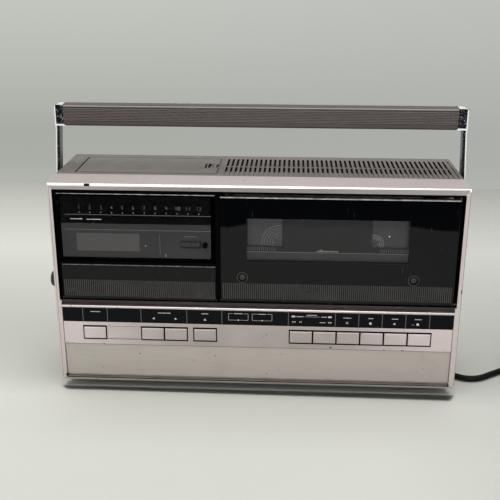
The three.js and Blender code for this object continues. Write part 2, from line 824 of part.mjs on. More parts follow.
const footPlaces = {
  foot_front_left: [footInset - casingHalf, coverFront + footRadius],
  foot_front_right: [casingHalf - footInset, coverFront + footRadius],
  foot_rear_left: [footInset - casingHalf, casingDepth - footInset],
  foot_rear_right: [casingHalf - footInset, casingDepth - footInset],
};

// Bottom pan: the floor plate, with a front and a rear flange turned up
function bottomPan() {
  const half = casingHalf - casingWall - seam;
  const floor = box(-casingHalf, casingHalf, coverFront, coverBack, 0, panWall);
  const front = box(-half, half, coverFront, coverFront + panWall, 0, panFlange);
  const back = box(-half, half, coverBack - rearFlange - panWall, coverBack - rearFlange, 0, panFlange);
  const screwHoles = Object.values(footPlaces).map(([x, y]) =>
    rodUp(footScrewRadius + bearingPlay, -overrun, panWall + overrun, x, y),
  );
  return piece("bottom_pan", cut(joined(floor, front, back), ...screwHoles), coverPaint());
}

// A round rubber foot with its peg up through the pan
function foot(name) {
  const [x, y] = footPlaces[name];
  const profile = [
    [0, -footHeight],
    [footRadius - footTaper, -footHeight],
    [footRadius, -footHeight / 2],
    [footRadius, -seam],
    [footScrewRadius, -seam],
    [footScrewRadius, panWall],
    [0, panWall],
  ].map(([radius, station]) => new THREE.Vector2(radius, station));
  const body = new THREE.LatheGeometry(profile, plainSides).rotateX(Math.PI / 2);
  return piece(name, solid(body.translate(x, y, 0)), rubber());
}

// Lower front panel: a plate that leans back a little at its foot
function lowerPanel() {
  const top = lowerPanelBottom + lowerPanelHeight;
  const shape = outline([
    [lowerPanelFace + lowerPanelSlope, lowerPanelBottom],
    [lowerPanelFace + lowerPanelSlope + panelThickness, lowerPanelBottom],
    [lowerPanelFace + panelThickness, top],
    [lowerPanelFace, top],
  ]);
  return piece("lower_panel", runAcross(shape, -panelHalf, panelHalf), panelSilver());
}

const buttonGroups = [
  [powerCentre, ["power_button"]],
  [channelCentre, ["channel_down_button", "channel_up_button"]],
  [ejectCentre, ["eject_button"]],
  [
    transportCentre,
    [
      "search_forward_button",
      "search_reverse_button",
      "pause_button",
      "record_button",
      "play_button",
      "stop_button",
    ],
  ],
];

const buttonPlaces = new Map();
for (const [centre, names] of buttonGroups) {
  names.forEach((name, i) =>
    buttonPlaces.set(name, centre + (i - (names.length - 1) / 2) * buttonPitch),
  );
}

// Control panel: the plate with one sunk key bed for each group of buttons
function controlPanel() {
  const back = controlPanelFace + panelThickness;
  const bedBack = back + keyBedDepth;
  const halfWell = buttonWellHeight / 2;
  let body = box(
    -panelHalf, panelHalf, controlPanelFace, back,
    controlPanelBottom, controlPanelBottom + controlPanelHeight,
  );
  const wells = [];
  for (const [centre, names] of buttonGroups) {
    const half = (names.length * buttonPitch) / 2;
    body = body.add(box(
      centre - half - keyBedWall, centre + half + keyBedWall, controlPanelFace, bedBack,
      buttonRow - halfWell - keyBedWall, buttonRow + halfWell + keyBedWall,
    ));
    wells.push(box(
      centre - half, centre + half, -overrun, bedBack - keyBedFloor,
      buttonRow - halfWell, buttonRow + halfWell,
    ));
  }
  for (const x of buttonPlaces.values()) {
    wells.push(rodBack(buttonStemRadius + bearingPlay, -overrun, bedBack + overrun, x, buttonRow));
  }
  const channel = box(
    powerCentre, channelCentre, -overrun, controlPanelFace + panelChannelDepth,
    buttonRow - panelChannelHeight / 2, buttonRow + panelChannelHeight / 2,
  );
  return piece("control_panel", cut(body, ...wells, channel), champagne());
}

// One push button: a bevelled cap on a round stem that runs in the key bed's hole
function button(name) {
  const x = buttonPlaces.get(name);
  const halfWidth = (buttonPitch - buttonGap) / 2;
  const halfHeight = (buttonWellHeight - 2 * buttonGap) / 2;
  const sideBevel = name === "record_button" ? recordSideBevel : buttonBevel;
  const face = controlPanelFace - buttonReach;
  const shoulder = face + buttonBevel;
  const capBack = face + buttonCapDepth;
  const full = [x - halfWidth, x + halfWidth, buttonRow - halfHeight, buttonRow + halfHeight];
  const crown = [
    x - halfWidth + sideBevel, x + halfWidth - sideBevel,
    buttonRow - halfHeight + buttonBevel, buttonRow + halfHeight - buttonBevel,
  ];
  const body = joined(
    tapered(crown, face, full, shoulder),
    box(full[0], full[1], shoulder, capBack, full[2], full[3]),
    rodBack(buttonStemRadius, shoulder, capBack + buttonStemLength, x, buttonRow),
  );
  return piece(name, body, champagne());
}

function legendStrip() {
  const body = box(
    -panelHalf, panelHalf, legendStripFace, legendStripFace + panelThickness,
    legendStripBottom, legendStripBottom + legendStripHeight,
  );
  return piece("legend_strip", body, glossBlack());
}

// Bright moulding: a half-round nose with a bevel that slopes back up to the doors
function trimStrip() {
  const half = trimNoseHeight / 2;
  const middle = trimStripBottom + half;
  const shape = new THREE.Shape();
  shape.moveTo(bayFace, trimStripBottom);
  shape.lineTo(bayFace, trimStripBottom + trimStripHeight);
  shape.lineTo(bayFace - trimReach / 2, trimStripBottom + trimStripHeight);
  shape.absellipse(
    trimNoseDepth - trimReach, middle, trimNoseDepth, half, Math.PI / 2, 1.5 * Math.PI, false, 0,
  );
  return piece("trim_strip", runAcross(shape, -panelHalf, panelHalf), chrome());
}

// Left bay: a black moulding with one pocket for the display and one behind the flip door
function leftBay() {
  const block = box(bayBlockLeft, bayRight, pocketFront, bayBack, doorRowBottom, bayTop);
  const ring = cut(
    box(bayLeft, bayRight, cheekFront, pocketFront, doorRowBottom, bayTop),
    box(
      flipDoorLeft - seam, flipDoorRight + seam, -overrun, pocketFront,
      doorRowBottom - overrun, flipDoorTop + seam,
    ),
    box(
      flipDoorLeft - seam, flipDoorRight + seam, -overrun, pocketFront,
      displayBottom - seam, displayTop + seam,
    ),
  );
  const pocket = (z0, z1) =>
    box(
      bayLeft + bayPocketWall, bayRight - bayPostCheek - bayPocketWall / 2,
      cheekFront, pocketBack, z0, z1,
    );
  const pinHole = rodAcross(
    hingePinRadius + bearingPlay, bayLeft - overrun, bayRight + overrun, flipHingeY, flipHingeZ,
  );
  const doorPinHole = rodAcross(
    hingePinRadius + bearingPlay, bayRight - bayPostCheek / 2, bayRight + overrun,
    doorHingeY, doorHingeZ,
  );
  const knobHole = rodBack(
    knobShaftRadius + bearingPlay, cheekFront, bayBack + overrun, knobX, knobZ,
  );
  const body = cut(
    joined(block, ring),
    pocket(doorRowBottom + bayPocketWall - bayFloor, flipDoorTop - bayFloor),
    pocket(displayBottom + bayFloor, displayTop - bayFloor),
    pinHole, doorPinHole, knobHole,
  );
  return piece("left_bay", body, mattBlack());
}

function displayWindow() {
  const pane = box(
    flipDoorLeft, flipDoorRight, bayFace, bayFace + windowThickness, displayBottom, displayTop,
  );
  const hole = rodBack(
    resetRadius + bearingPlay, -overrun, bayFace + windowThickness + overrun,
    resetX, counterZ, plainSides,
  );
  return piece("display_window", cut(pane, hole), smoked());
}

// Display board: the clock block, the channel scale, the counter's bearings and four standoffs
function displayBoard() {
  const left = bayLeft + bayPocketWall + displayBoardInset;
  const right = bayRight - bayPostCheek - bayPocketWall / 2 - displayBoardInset;
  const bottom = displayBottom + bayFloor + displayBoardInset;
  const top = displayTop - bayFloor - displayBoardInset;
  const back = displayBoardDepth + boardThickness;
  const halfSlot = counterLength / 2 + counterEarWidth + seam;
  const slotHalfHeight = counterRadius + 2 * seam;
  const earOuter = counterLength / 2 + seam + counterEarWidth;
  const ear = (side) => {
    const inner = counterX + side * (counterLength / 2 + seam);
    const outer = counterX + side * earOuter;
    return box(
      Math.min(inner, outer), Math.max(inner, outer), displayBoardDepth, counterAxisY + counterEarReach,
      counterZ - slotHalfHeight - boardThickness, counterZ + counterEarHeight / 2,
    );
  };
  const plate = cut(
    box(left, right, displayBoardDepth, back, bottom, top),
    box(
      counterX - halfSlot, counterX + halfSlot, 0, back + overrun,
      counterZ - slotHalfHeight, counterZ + slotHalfHeight,
    ),
  );
  const clock = box(
    clockLeft, clockLeft + clockWidth, displayBoardDepth - clockDepth, displayBoardDepth,
    clockBottom, clockBottom + clockHeight,
  );
  const scale = box(
    scaleLeft, scaleLeft + scaleWidth, displayBoardDepth - scaleDepth, displayBoardDepth,
    scaleBottom, scaleBottom + scaleHeight,
  );
  const standoffs = [];
  for (const x of [left + standoffInsetX, right - standoffInsetX]) {
    for (const z of [bottom + standoffInsetZ, top - standoffInsetZ]) {
      standoffs.push(rodBack(standoffRadius, back, pocketBack - seam, x, z));
    }
  }
  const bearing = rodAcross(
    counterShaftRadius + bearingPlay, counterX - 2 * earOuter, counterX + 2 * earOuter,
    counterAxisY, counterZ,
  );
  const stemHole = rodBack(
    counterShaftRadius + bearingPlay, 0, back + overrun, resetX, counterZ,
  );
  const body = cut(joined(plate, clock, scale, ear(-1), ear(1), ...standoffs), bearing, stemHole);
  return piece("display_board", body, mattBlack());
}

function counterDrum() {
  const half = counterLength / 2;
  const shaftHalf = half + seam + counterEarWidth;
  const groove = counterShaftRadius / 4;
  const profile = [[0, counterX - shaftHalf], [counterShaftRadius, counterX - shaftHalf]];
  profile.push([counterShaftRadius, counterX - half]);
  const digits = 4;
  for (let i = 0; i < digits; i++) {
    const start = counterX - half + (i * counterLength) / digits;
    const end = counterX - half + ((i + 1) * counterLength) / digits;
    profile.push([counterRadius - groove, start], [counterRadius, start + groove]);
    profile.push([counterRadius, end - groove], [counterRadius - groove, end]);
  }
  profile.push([counterShaftRadius, counterX + half], [counterShaftRadius, counterX + shaftHalf]);
  profile.push([0, counterX + shaftHalf]);
  const unique = profile.filter(
    (point, i) => i === 0 || point[0] !== profile[i - 1][0] || point[1] !== profile[i - 1][1],
  );
  return piece("counter_drum", turnedAcross(unique, counterAxisY, counterZ, plainSides), mattBlack());
}

function counterResetButton() {
  const face = bayFace - resetReach;
  const shoulder = displayBoardDepth - resetTravel - seam;
  const profile = [
    [0, face],
    [resetRadius - seam, face],
    [resetRadius, face + seam],
    [resetRadius, shoulder],
    [counterShaftRadius, shoulder],
    [counterShaftRadius, displayBoardDepth + boardThickness],
    [0, displayBoardDepth + boardThickness],
  ];
  return piece("counter_reset_button", turnedBack(profile, resetX, counterZ, plainSides), whitePlastic());
}

// A door slab whose foot is rounded about its hinge line, as a side outline
function slabOutline(face, thickness, bottom, top) {
  const radius = thickness / 2;
  const shape = new THREE.Shape();
  shape.absarc(face + radius, bottom + radius, radius, Math.PI, 2 * Math.PI);
  shape.lineTo(face + thickness, top);
  shape.lineTo(face, top);
  return shape;
}

// Upright grooves between the ribs of a door's band
function ribGrooves(left, right, face, bottom, height) {
  const count = Math.floor((right - left) / ribPitch);
  const start = (left + right - count * ribPitch) / 2;
  const shapes = [];
  for (let i = 0; i < count; i++) {
    const middle = start + (i + 0.5) * ribPitch;
    shapes.push(outline([
      [middle - ribGrooveWidth / 2, face - ribGrooveDepth],
      [middle + ribGrooveWidth / 2, face - ribGrooveDepth],
      [middle, face + ribGrooveDepth],
    ]));
  }
  return raised(shapes, bottom, bottom + height);
}

function flipDoor() {
  const slab = runAcross(
    slabOutline(bayFace, flipDoorThickness, flipDoorBottom, flipDoorTop),
    flipDoorLeft, flipDoorRight,
  );
  const pins = rodAcross(
    hingePinRadius, flipDoorLeft - seam - baySideCheek / 2,
    flipDoorRight + seam + baySideCheek / 2, flipHingeY, flipHingeZ,
  );
  const grooves = ribGrooves(
    flipDoorLeft, flipDoorRight, bayFace, flipDoorBottom + flipRibBottom, flipRibHeight,
  );
  return piece("flip_door", joined(cut(slab, grooves), pins), glossBlack());
}

function trackingKnob() {
  const front = pocketBack - seam - knobDepth;
  const chamfer = seam * 2;
  const profile = [
    [0, front],
    [knobRadius - chamfer, front],
    [knobRadius, front + chamfer],
    [knobRadius, pocketBack - seam],
    [knobShaftRadius, pocketBack - seam],
    [knobShaftRadius, bayBack],
    [0, bayBack],
  ];
  const flutes = [];
  for (let i = 0; i < knobFlutes; i++) {
    const angle = (2 * Math.PI * i) / knobFlutes;
    const x = knobX + knobRadius * Math.cos(angle);
    const z = knobZ + knobRadius * Math.sin(angle);
    flutes.push(rodBack(knobFluteRadius, front - overrun, pocketBack + overrun, x, z, 6));
  }
  const pointer = box(
    knobX - knobFluteRadius / 2, knobX + knobFluteRadius / 2, front - seam, front + seam,
    knobZ, knobZ + knobRadius - 2 * chamfer,
  );
  const body = cut(turnedBack(profile, knobX, knobZ, plainSides), ...flutes, pointer);
  return piece("tracking_knob", body, mattBlack());
}

// Cassette door: the black front with its ribbed band, lens recess and two screw wells
function cassetteDoor() {
  const slab = runAcross(
    slabOutline(bayFace, doorThickness, doorBottom, doorTop), doorLeft, doorRight,
  );
  const pins = rodAcross(
    hingePinRadius, bayRight - bayPostCheek / 4, openingHalf + bezelSideBar / 3,
    doorHingeY, doorHingeZ,
  );
  const recess = box(
    lensLeft - seam, lensRight + seam, -overrun, bayFace + lensThickness + seam,
    lensBottom - seam, lensTop + seam,
  );
  const aperture = box(
    lensLeft + lensLedge, lensRight - lensLedge, -overrun, doorBack + overrun,
    lensBottom + lensLedge, lensTop - lensLedge,
  );
  const grooves = ribGrooves(
    doorLeft, doorRight, bayFace, doorBottom + doorRibBottom, doorRibHeight,
  );
  const wells = [doorScrewLeft, doorScrewRight].map((x) =>
    rodBack(doorScrewRadius, -overrun, bayFace + doorScrewDepth, x, doorScrewZ, plainSides),
  );
  const body = cut(joined(cut(slab, grooves), pins), recess, aperture, ...wells);
  return piece("cassette_door", body, glossBlack());
}

function doorLens() {
  const body = box(lensLeft, lensRight, bayFace, bayFace + lensThickness, lensBottom, lensTop);
  return piece("door_lens", body, smoked());
}

// Cassette holder: a sheet channel behind the door, with a shelf at each side under the cassette,
// and open for the hubs and for the tape path
function cassetteHolder() {
  const inner = cassetteHalf + holderPlay;
  const left = cassetteCentre - inner - holderSheet;
  const right = cassetteCentre + inner + holderSheet;
  const front = doorBack + seam;
  const back = holderBack + holderSheet;
  const top = cassetteBottom + cassetteHeight;
  const shelfTop = cassetteBottom - seam;
  const shelfBottom = shelfTop - holderSheet;
  const hubHoles = [hubLeft, hubRight].map((x) =>
    rodBack(holderHubRadius, holderBack - overrun, back + overrun, x, hubZ, plainSides),
  );
  const body = cut(
    box(left, right, front, back, shelfBottom, top),
    box(
      left + holderSheet, right - holderSheet, front + holderSheet, holderBack,
      shelfTop, top + overrun,
    ),
    box(
      left + holderLip, right - holderLip, front - overrun, front + holderSheet,
      shelfBottom - overrun, top + overrun,
    ),
    box(
      left + holderShelf, right - holderShelf, front - overrun, back + overrun,
      shelfBottom - overrun, cassetteBottom,
    ),
    ...hubHoles,
    box(
      cassetteCentre - holderNotchHalf, cassetteCentre + holderNotchHalf,
      holderBack - overrun, back + overrun, cassetteBottom - overrun,
      cassetteBottom + holderNotchHeight,
    ),
  );
  return piece("cassette_holder", body, steel());
}

// Cassette shell: hollow, with two windows in front and two hub holes behind
function cassetteShell() {
  const top = cassetteBottom + cassetteHeight;
  const left = cassetteCentre - cassetteHalf;
  const right = cassetteCentre + cassetteHalf;
  const outside = runBack(
    roundedRectangle(left, right, cassetteBottom, top, cassetteCorner), cassetteFront, cassetteBack,
  );
  const inside = box(
    left + cassetteWall, right - cassetteWall, cassetteFront + cassetteWall,
    cassetteBack - cassetteWall, cassetteBottom + cassetteWall, top - cassetteWall,
  );
  const windows = [-1, 1].map((side) => {
    const a = cassetteCentre + side * cassetteWindowInner;
    const b = cassetteCentre + side * cassetteWindowOuter;
    return box(
      Math.min(a, b), Math.max(a, b), cassetteFront - overrun, cassetteFront + cassetteWall + seam,
      hubZ - cassetteWindowBottom, hubZ + cassetteWindowTop,
    );
  });
  const hubHoles = [hubLeft, hubRight].map((x) =>
    rodBack(
      hubHoleRadius, cassetteBack - cassetteWall - seam, cassetteBack + overrun, x, hubZ, fineSides,
    ),
  );
  return piece("cassette_shell", cut(outside, inside, ...windows, ...hubHoles), mattBlack());
}

// A reel with its tape: two flanges, the wound pack between them and a splined bore behind
function cassetteReel(name, x, packRadius) {
  const profile = [
    [0, reelFront],
    [reelFlangeRadius, reelFront],
    [reelFlangeRadius, reelFront + reelFlange],
    [packRadius, reelFront + reelFlange],
    [packRadius, reelBack - reelFlange],
    [reelFlangeRadius, reelBack - reelFlange],
    [reelFlangeRadius, reelBack],
    [reelBoreRadius, reelBack],
    [reelBoreRadius, reelBack - reelBoreDepth],
    [0, reelBack - reelBoreDepth],
  ];
  const teeth = [];
  const toothDepth = reelHubRadius - reelBoreRadius;
  for (let i = 0; i < 6; i++) {
    const geometry = new THREE.BoxGeometry(toothDepth, reelBoreDepth / 2, toothDepth / 2);
    geometry.translate(reelBoreRadius, reelBack - 0.75 * reelBoreDepth, 0);
    teeth.push(solid(geometry.rotateY((Math.PI * i) / 3).translate(x, 0, hubZ)));
  }
  const body = joined(turnedBack(profile, x, hubZ, fineSides), ...teeth);
  return piece(name, body, whitePlastic());
}

// Deck chassis: a steel plate with a foot flange and holes for everything that runs through it
function deckChassis() {
  const back = chassisFace + chassisSheet;
  const plate = box(chassisLeft, chassisRight, chassisFace, back, panWall + seam, chassisTop);
  const flange = box(
    chassisLeft, chassisRight, chassisFace, back + chassisFlange,
    panWall + seam, panWall + seam + chassisSheet,
  );
  const shaftHole = (radius, x, z) =>
    rodBack(radius + bearingPlay, chassisFace - overrun, back + overrun, x, z);
  const posts = statorPostPlaces().map(([x, z]) => shaftHole(statorPostRadius, x, z));
  const body = cut(
    joined(plate, flange),
    shaftHole(spindleShaftRadius, hubLeft, hubZ),
    shaftHole(spindleShaftRadius, hubRight, hubZ),
    shaftHole(capstanRadius, capstanX, capstanZ),
    shaftHole(pinchPinRadius, pinchPivotX, pinchPivotZ),
    ...posts,
  );
  return piece("deck_chassis", body, steel());
}

// A reel spindle: shaft, collar, and a finned barrel that enters the reel's bore
function spindle(name, x) {
  const tip = chassisFace - spindleReach;
  const barrelFront = tip + spindleTaper;
  const collarBack = chassisFace - seam;
  const collarFront = collarBack - spindleCollar;
  const shaftBack = chassisFace + chassisSheet + spindleTail;
  const profile = [
    [0, tip],
    [spindleTipRadius, tip],
    [spindleBarrelRadius, barrelFront],
    [spindleBarrelRadius, collarFront],
    [spindleCollarRadius, collarFront],
    [spindleCollarRadius, collarBack],
    [spindleShaftRadius, collarBack],
    [spindleShaftRadius, shaftBack],
    [0, shaftBack],
  ];
  const fins = [];
  for (let i = 0; i < spindleFins; i++) {
    const reach = spindleBarrelRadius + spindleFinReach;
    const length = collarFront - barrelFront;
    const geometry = new THREE.BoxGeometry(reach, length, spindleFinWidth);
    geometry.translate(reach / 2, barrelFront + length / 2, 0);
    fins.push(
      solid(geometry.rotateY((2 * Math.PI * i) / spindleFins + Math.PI / 6).translate(x, 0, hubZ)),
    );
  }
  const body = joined(turnedBack(profile, x, hubZ, plainSides), ...fins);
  return piece(name, body, whitePlastic());
}

// Head drum halves, turned about an axis that leans to one side of the front-to-back line
const drumTilt = THREE.MathUtils.degToRad(drumTiltDegrees);
const leaned = (geometry) =>
  geometry.rotateZ(drumTilt).translate(cassetteCentre, drumSplit, drumZ);

function upperDrum() {
  const face = drumFace - drumSplit;
  const profile = [
    [0, face + drumRimDepth],
    [drumBoss, face + drumRimDepth],
    [drumBoss, face + drumRimDepth / 3],
    [drumRadius - drumRim - drumBoss, face + drumRimDepth],
    [drumRadius - drumRim, face + drumRimDepth],
    [drumRadius - drumRim, face],
    [drumRadius, face],
    [drumRadius, -seam / 2],
    [0, -seam / 2],
  ].map(([radius, station]) => new THREE.Vector2(radius, station));
  return piece("upper_drum", solid(leaned(new THREE.LatheGeometry(profile, fineSides))), steel());
}

function lowerDrum() {
  const reach = chassisFace - drumSplit + drumBoss;
  const step = drumRadius - drumRim / 2;
  const profile = [
    [0, seam / 2],
    [drumRadius, seam / 2],
    [drumRadius, drumRimDepth],
    [step, drumRimDepth + drumRim / 2],
    [step, reach],
    [0, reach],
  ].map(([radius, station]) => new THREE.Vector2(radius, station));
  const body = cut(
    solid(leaned(new THREE.LatheGeometry(profile, fineSides))),
    box(
      cassetteCentre - 2 * drumRadius, cassetteCentre + 2 * drumRadius,
      chassisFace - seam, casingDepth, drumZ - 2 * drumRadius, drumZ + 2 * drumRadius,
    ),
  );
  return piece("lower_drum", body, steel());
}

const flywheelFront = chassisFace + chassisSheet + 2 * seam;
const statorFront = flywheelFront + flywheelThickness + seam;

function capstan() {
  const back = flywheelFront + flywheelThickness;
  const dishRadius = flywheelRadius - flywheelRim;
  const profile = [
    [0, capstanFront],
    [capstanRadius, capstanFront],
    [capstanRadius, flywheelFront],
    [flywheelRadius, flywheelFront],
    [flywheelRadius, back],
    [dishRadius, back],
    [dishRadius, back - flywheelDish],
    [0, back - flywheelDish],
  ];
  return piece("capstan", turnedBack(profile, capstanX, capstanZ, fineSides), steel());
}

function statorPostPlaces() {
  const reach = statorRadius + statorPostRadius;
  return Array.from({ length: statorPosts }, (_, i) => {
    const angle = (2 * Math.PI * i) / statorPosts - Math.PI / 2;
    return [capstanX + reach * Math.cos(angle), capstanZ + reach * Math.sin(angle)];
  });
}

// Motor stator behind the flywheel, on three posts from the chassis that a spider joins
function capstanMotor() {
  const back = statorFront + statorThickness;
  const reach = statorRadius + 2 * statorPostRadius;
  let body = rodBack(statorRadius, statorFront, back, capstanX, capstanZ, plainSides);
  statorPostPlaces().forEach(([x, z], i) => {
    const arm = new THREE.BoxGeometry(2 * statorPostRadius, 2 * chassisSheet, reach);
    arm.translate(0, back, -reach / 2).rotateY((2 * Math.PI * i) / statorPosts);
    body = joined(
      body,
      rodBack(statorPostRadius, chassisFace, back, x, z),
      solid(arm.translate(capstanX, 0, capstanZ)),
    );
  });
  return piece("capstan_motor", body, steel());
}

const pinchAngle = THREE.MathUtils.degToRad(pinchRestDegrees);
const pinchRollerX = pinchPivotX + pinchArmLength * Math.cos(pinchAngle);
const pinchRollerZ = pinchPivotZ + pinchArmLength * Math.sin(pinchAngle);
const pinchArmBack = chassisFace - seam;
const pinchArmFront = pinchArmBack - pinchArmThickness;
const pinchRollerBack = pinchArmFront - seam;

// Pinch arm: a flat lever with round ends, its pivot pin and the roller's pin
function pinchArm() {
  const half = pinchArmWidth / 2;
  const lever = new THREE.Shape();
  lever.absarc(0, 0, half, Math.PI / 2, 1.5 * Math.PI);
  lever.absarc(pinchArmLength, 0, half, -Math.PI / 2, Math.PI / 2);
  const plate = prism(lever, pinchArmThickness)
    .rotateX(Math.PI / 2)
    .translate(0, pinchArmBack, 0)
    .rotateY(-pinchAngle)
    .translate(pinchPivotX, 0, pinchPivotZ);
  const body = joined(
    solid(plate),
    rodBack(
      pinchPinRadius, pinchArmFront, chassisFace + chassisSheet + seam, pinchPivotX, pinchPivotZ,
    ),
    rodBack(
      pinchPinRadius, pinchRollerBack - pinchRollerLength, pinchArmBack,
      pinchRollerX, pinchRollerZ,
    ),
  );
  return piece("pinch_arm", body, steel());
}

function pinchRoller() {
  const front = pinchRollerBack - pinchRollerLength + pinchCapDepth;
  const bore = pinchPinRadius + bearingPlay;
  const profile = [
    [bore, front],
    [pinchRollerRadius - pinchCapDepth, front],
    [pinchRollerRadius, front + pinchCapDepth],
    [pinchRollerRadius, pinchRollerBack - pinchCapDepth],
    [pinchRollerRadius - pinchCapDepth, pinchRollerBack],
    [bore, pinchRollerBack],
    [bore, front],
  ];
  return piece(
    "pinch_roller", turnedBack(profile, pinchRollerX, pinchRollerZ, plainSides), rubber(),
  );
}

// Main board: it stands on the pan and carries its chips
function mainBoard() {
  const back = mainBoardDepth + boardThickness;
  const bottom = panWall + seam;
  let body = box(mainBoardLeft, mainBoardRight, mainBoardDepth, back, bottom, mainBoardTop);
  for (let column = 0; column < chipColumns; column++) {
    for (let row = 0; row < chipRows; row++) {
      const x = mainBoardLeft + ((mainBoardRight - mainBoardLeft) * (column + 0.5)) / chipColumns;
      const z = bottom + ((mainBoardTop - bottom) * (row + 0.5)) / chipRows;
      body = body.add(box(
        x - chipWidth / 2, x + chipWidth / 2, back, back + chipDepth,
        z - chipHeight / 2, z + chipHeight / 2,
      ));
    }
  }
  return piece("main_board", body, boardGreen());
}

// Mains transformer: a laminated core with its winding showing at both faces
function transformer() {
  const bottom = panWall + seam;
  const half = transformerWidth / 2;
  const core = box(
    transformerX - half, transformerX + half, transformerFront,
    transformerFront + transformerDepth, bottom, bottom + transformerHeight,
  );
  const middle = bottom + transformerHeight / 2;
  const coilHalf = transformerCoilWidth / 2;
  const winding = runBack(
    roundedRectangle(
      transformerX - coilHalf, transformerX + coilHalf, middle - coilHalf, middle + coilHalf,
      transformerCoilCorner,
    ),
    transformerFront - transformerCoilReach,
    transformerFront + transformerDepth + transformerCoilReach,
  );
  return piece("transformer", joined(core, winding), steel());
}

// Tray under the battery lid, open at the top, with a ledge for the lid
function batteryTray() {
  const wall = trayWall + trayLedge;
  const bottom = trayTop - trayDepth;
  const left = lidLeft - trayWall;
  const right = lidRight + trayWall;
  const front = lidFront - trayWall;
  const back = lidBack + trayWall;
  const body = cut(
    box(left, right, front, back, bottom, trayTop),
    box(
      left + wall, right - wall, front + wall, back - wall, bottom + trayWall, trayTop + overrun,
    ),
  );
  return piece("battery_tray", body, mattBlack());
}

function batteryLid() {
  const plate = box(
    lidLeft + seam, lidRight - seam, lidFront + seam, lidBack - seam, lidBottom, lidTop,
  );
  const notch = box(
    latchLeft - latchTravel - seam, lidRight + overrun, latchFront - seam,
    latchFront + latchLength + seam, lidBottom - overrun, lidTop + overrun,
  );
  return piece("battery_lid", cut(plate, notch), coverPaint());
}

function lidLatch() {
  const right = latchLeft + latchWidth;
  const plate = box(
    latchLeft, right, latchFront, latchFront + latchLength, lidBottom, lidTop,
  );
  const dimples = [0.25, 0.75].map((lengthShare) =>
    rodUp(
      latchDimpleRadius, lidTop - latchDimpleDepth, lidTop + overrun,
      latchLeft + latchWidth / 2, latchFront + latchLength * lengthShare,
    ),
  );
  return piece("lid_latch", cut(plate, ...dimples), mattBlack());
}

// Points of an arc in the drawing plane, from one angle to another
function arcPoints(a, b, radius, from, to) {
  return Array.from({ length: arcSteps + 1 }, (_, i) => {
    const angle = from + ((to - from) * i) / arcSteps;
    return [a + radius * Math.cos(angle), b + radius * Math.sin(angle)];
  });
}

// A handle arm: a flat bar from its pivot eye up to the block that holds the grip
function handleArm(name, side) {
  const shape = new THREE.Shape();
  const halfDepth = armDepth / 2;
  const spread = Math.asin(halfDepth / armEyeRadius);
  shape.absarc(
    handleDepth, pivotZ, armEyeRadius, Math.PI / 2 + spread, 2.5 * Math.PI - spread,
  );
  shape.lineTo(handleDepth + halfDepth, blockTop - blockHeight / 2);
  shape.lineTo(handleDepth - halfDepth, blockTop - blockHeight / 2);
  const span = (a, b) => (side > 0 ? [a, b] : [-b, -a]);
  const blockBottom = blockTop - blockHeight;
  const blockInner = gripHalf + seam;
  const lipInner = gripHalf - blockLipReach;
  const lipTop = gripTop - gripHeight - seam;
  const block = outline(
    [
      ...arcPoints(armOuter - blockCorner, blockTop - blockCorner, blockCorner, 0, Math.PI / 2),
      [blockInner, blockTop],
      [blockInner, lipTop],
      [lipInner, lipTop],
      [lipInner, lipTop - blockLip],
      [blockInner, blockBottom],
      [armOuter, blockBottom],
    ].map(([x, z]) => [side * x, z]),
  );
  const tenonMiddle = blockTop - blockHeight / 2;
  const tenon = box(
    ...span(gripHalf - gripTenon, blockInner),
    handleDepth - gripTenonDepth / 2, handleDepth + gripTenonDepth / 2,
    tenonMiddle - gripTenonHeight / 2, tenonMiddle + gripTenonHeight / 2,
  );
  const body = cut(
    joined(
      runAcross(shape, ...span(armInner, armOuter)),
      runBack(block, handleDepth - blockDepth / 2, handleDepth + blockDepth / 2),
      tenon,
    ),
    rodAcross(
      pivotShaftRadius + bearingPlay, ...span(armInner - seam, armOuter + overrun),
      handleDepth, pivotZ, plainSides,
    ),
  );
  return piece(name, body, chrome());
}

// Grip: a bar with long ribs on its front, socketed at both ends
function handleGrip() {
  const front = handleDepth - gripDepth / 2;
  const back = handleDepth + gripDepth / 2;
  const bar = roundedRectangle(front, back, gripTop - gripHeight, gripTop, gripCorner);
  const grooves = [];
  for (let i = 0; i < gripRibs; i++) {
    const z = gripTop - gripRibTop - i * gripRibPitch;
    grooves.push(outline([
      [front - gripRibDepth, z],
      [front - gripRibDepth, z - gripRibPitch / 2],
      [front + gripRibDepth, z - gripRibPitch / 2],
    ]));
  }
  const tenonMiddle = blockTop - blockHeight / 2;
  const socket = (x0, x1) =>
    box(
      x0, x1,
      handleDepth - gripTenonDepth / 2 - seam, handleDepth + gripTenonDepth / 2 + seam,
      tenonMiddle - gripTenonHeight / 2 - seam, tenonMiddle + gripTenonHeight / 2 + seam,
    );
  const body = cut(
    runAcross(bar, -gripHalf, gripHalf),
    runAcross(grooves, -gripHalf - overrun, gripHalf + overrun),
    socket(-gripHalf - overrun, gripTenon + seam - gripHalf),
    socket(gripHalf - gripTenon - seam, gripHalf + overrun),
  );
  return piece("handle_grip", body, gripPlastic());
}

// Shoulder screw that the arm turns on: collar, shaft and head
function handlePivot(name, side) {
  const profile = [
    [0, casingHalf + seam],
    [pivotCollarRadius, casingHalf + seam],
    [pivotCollarRadius, armInner - seam],
    [pivotShaftRadius, armInner - seam],
    [pivotShaftRadius, armOuter + seam],
    [pivotHeadRadius, armOuter + seam],
    [pivotHeadRadius, armOuter + seam + pivotHead / 2],
    [pivotHeadRadius - pivotHead / 4, armOuter + seam + pivotHead],
    [0, armOuter + seam + pivotHead],
  ];
  const mirrored = profile.map(([radius, station]) => [radius, -station]).reverse();
  const body = turnedAcross(side > 0 ? profile : mirrored, handleDepth, pivotZ, plainSides);
  return piece(name, body, mattBlack());
}

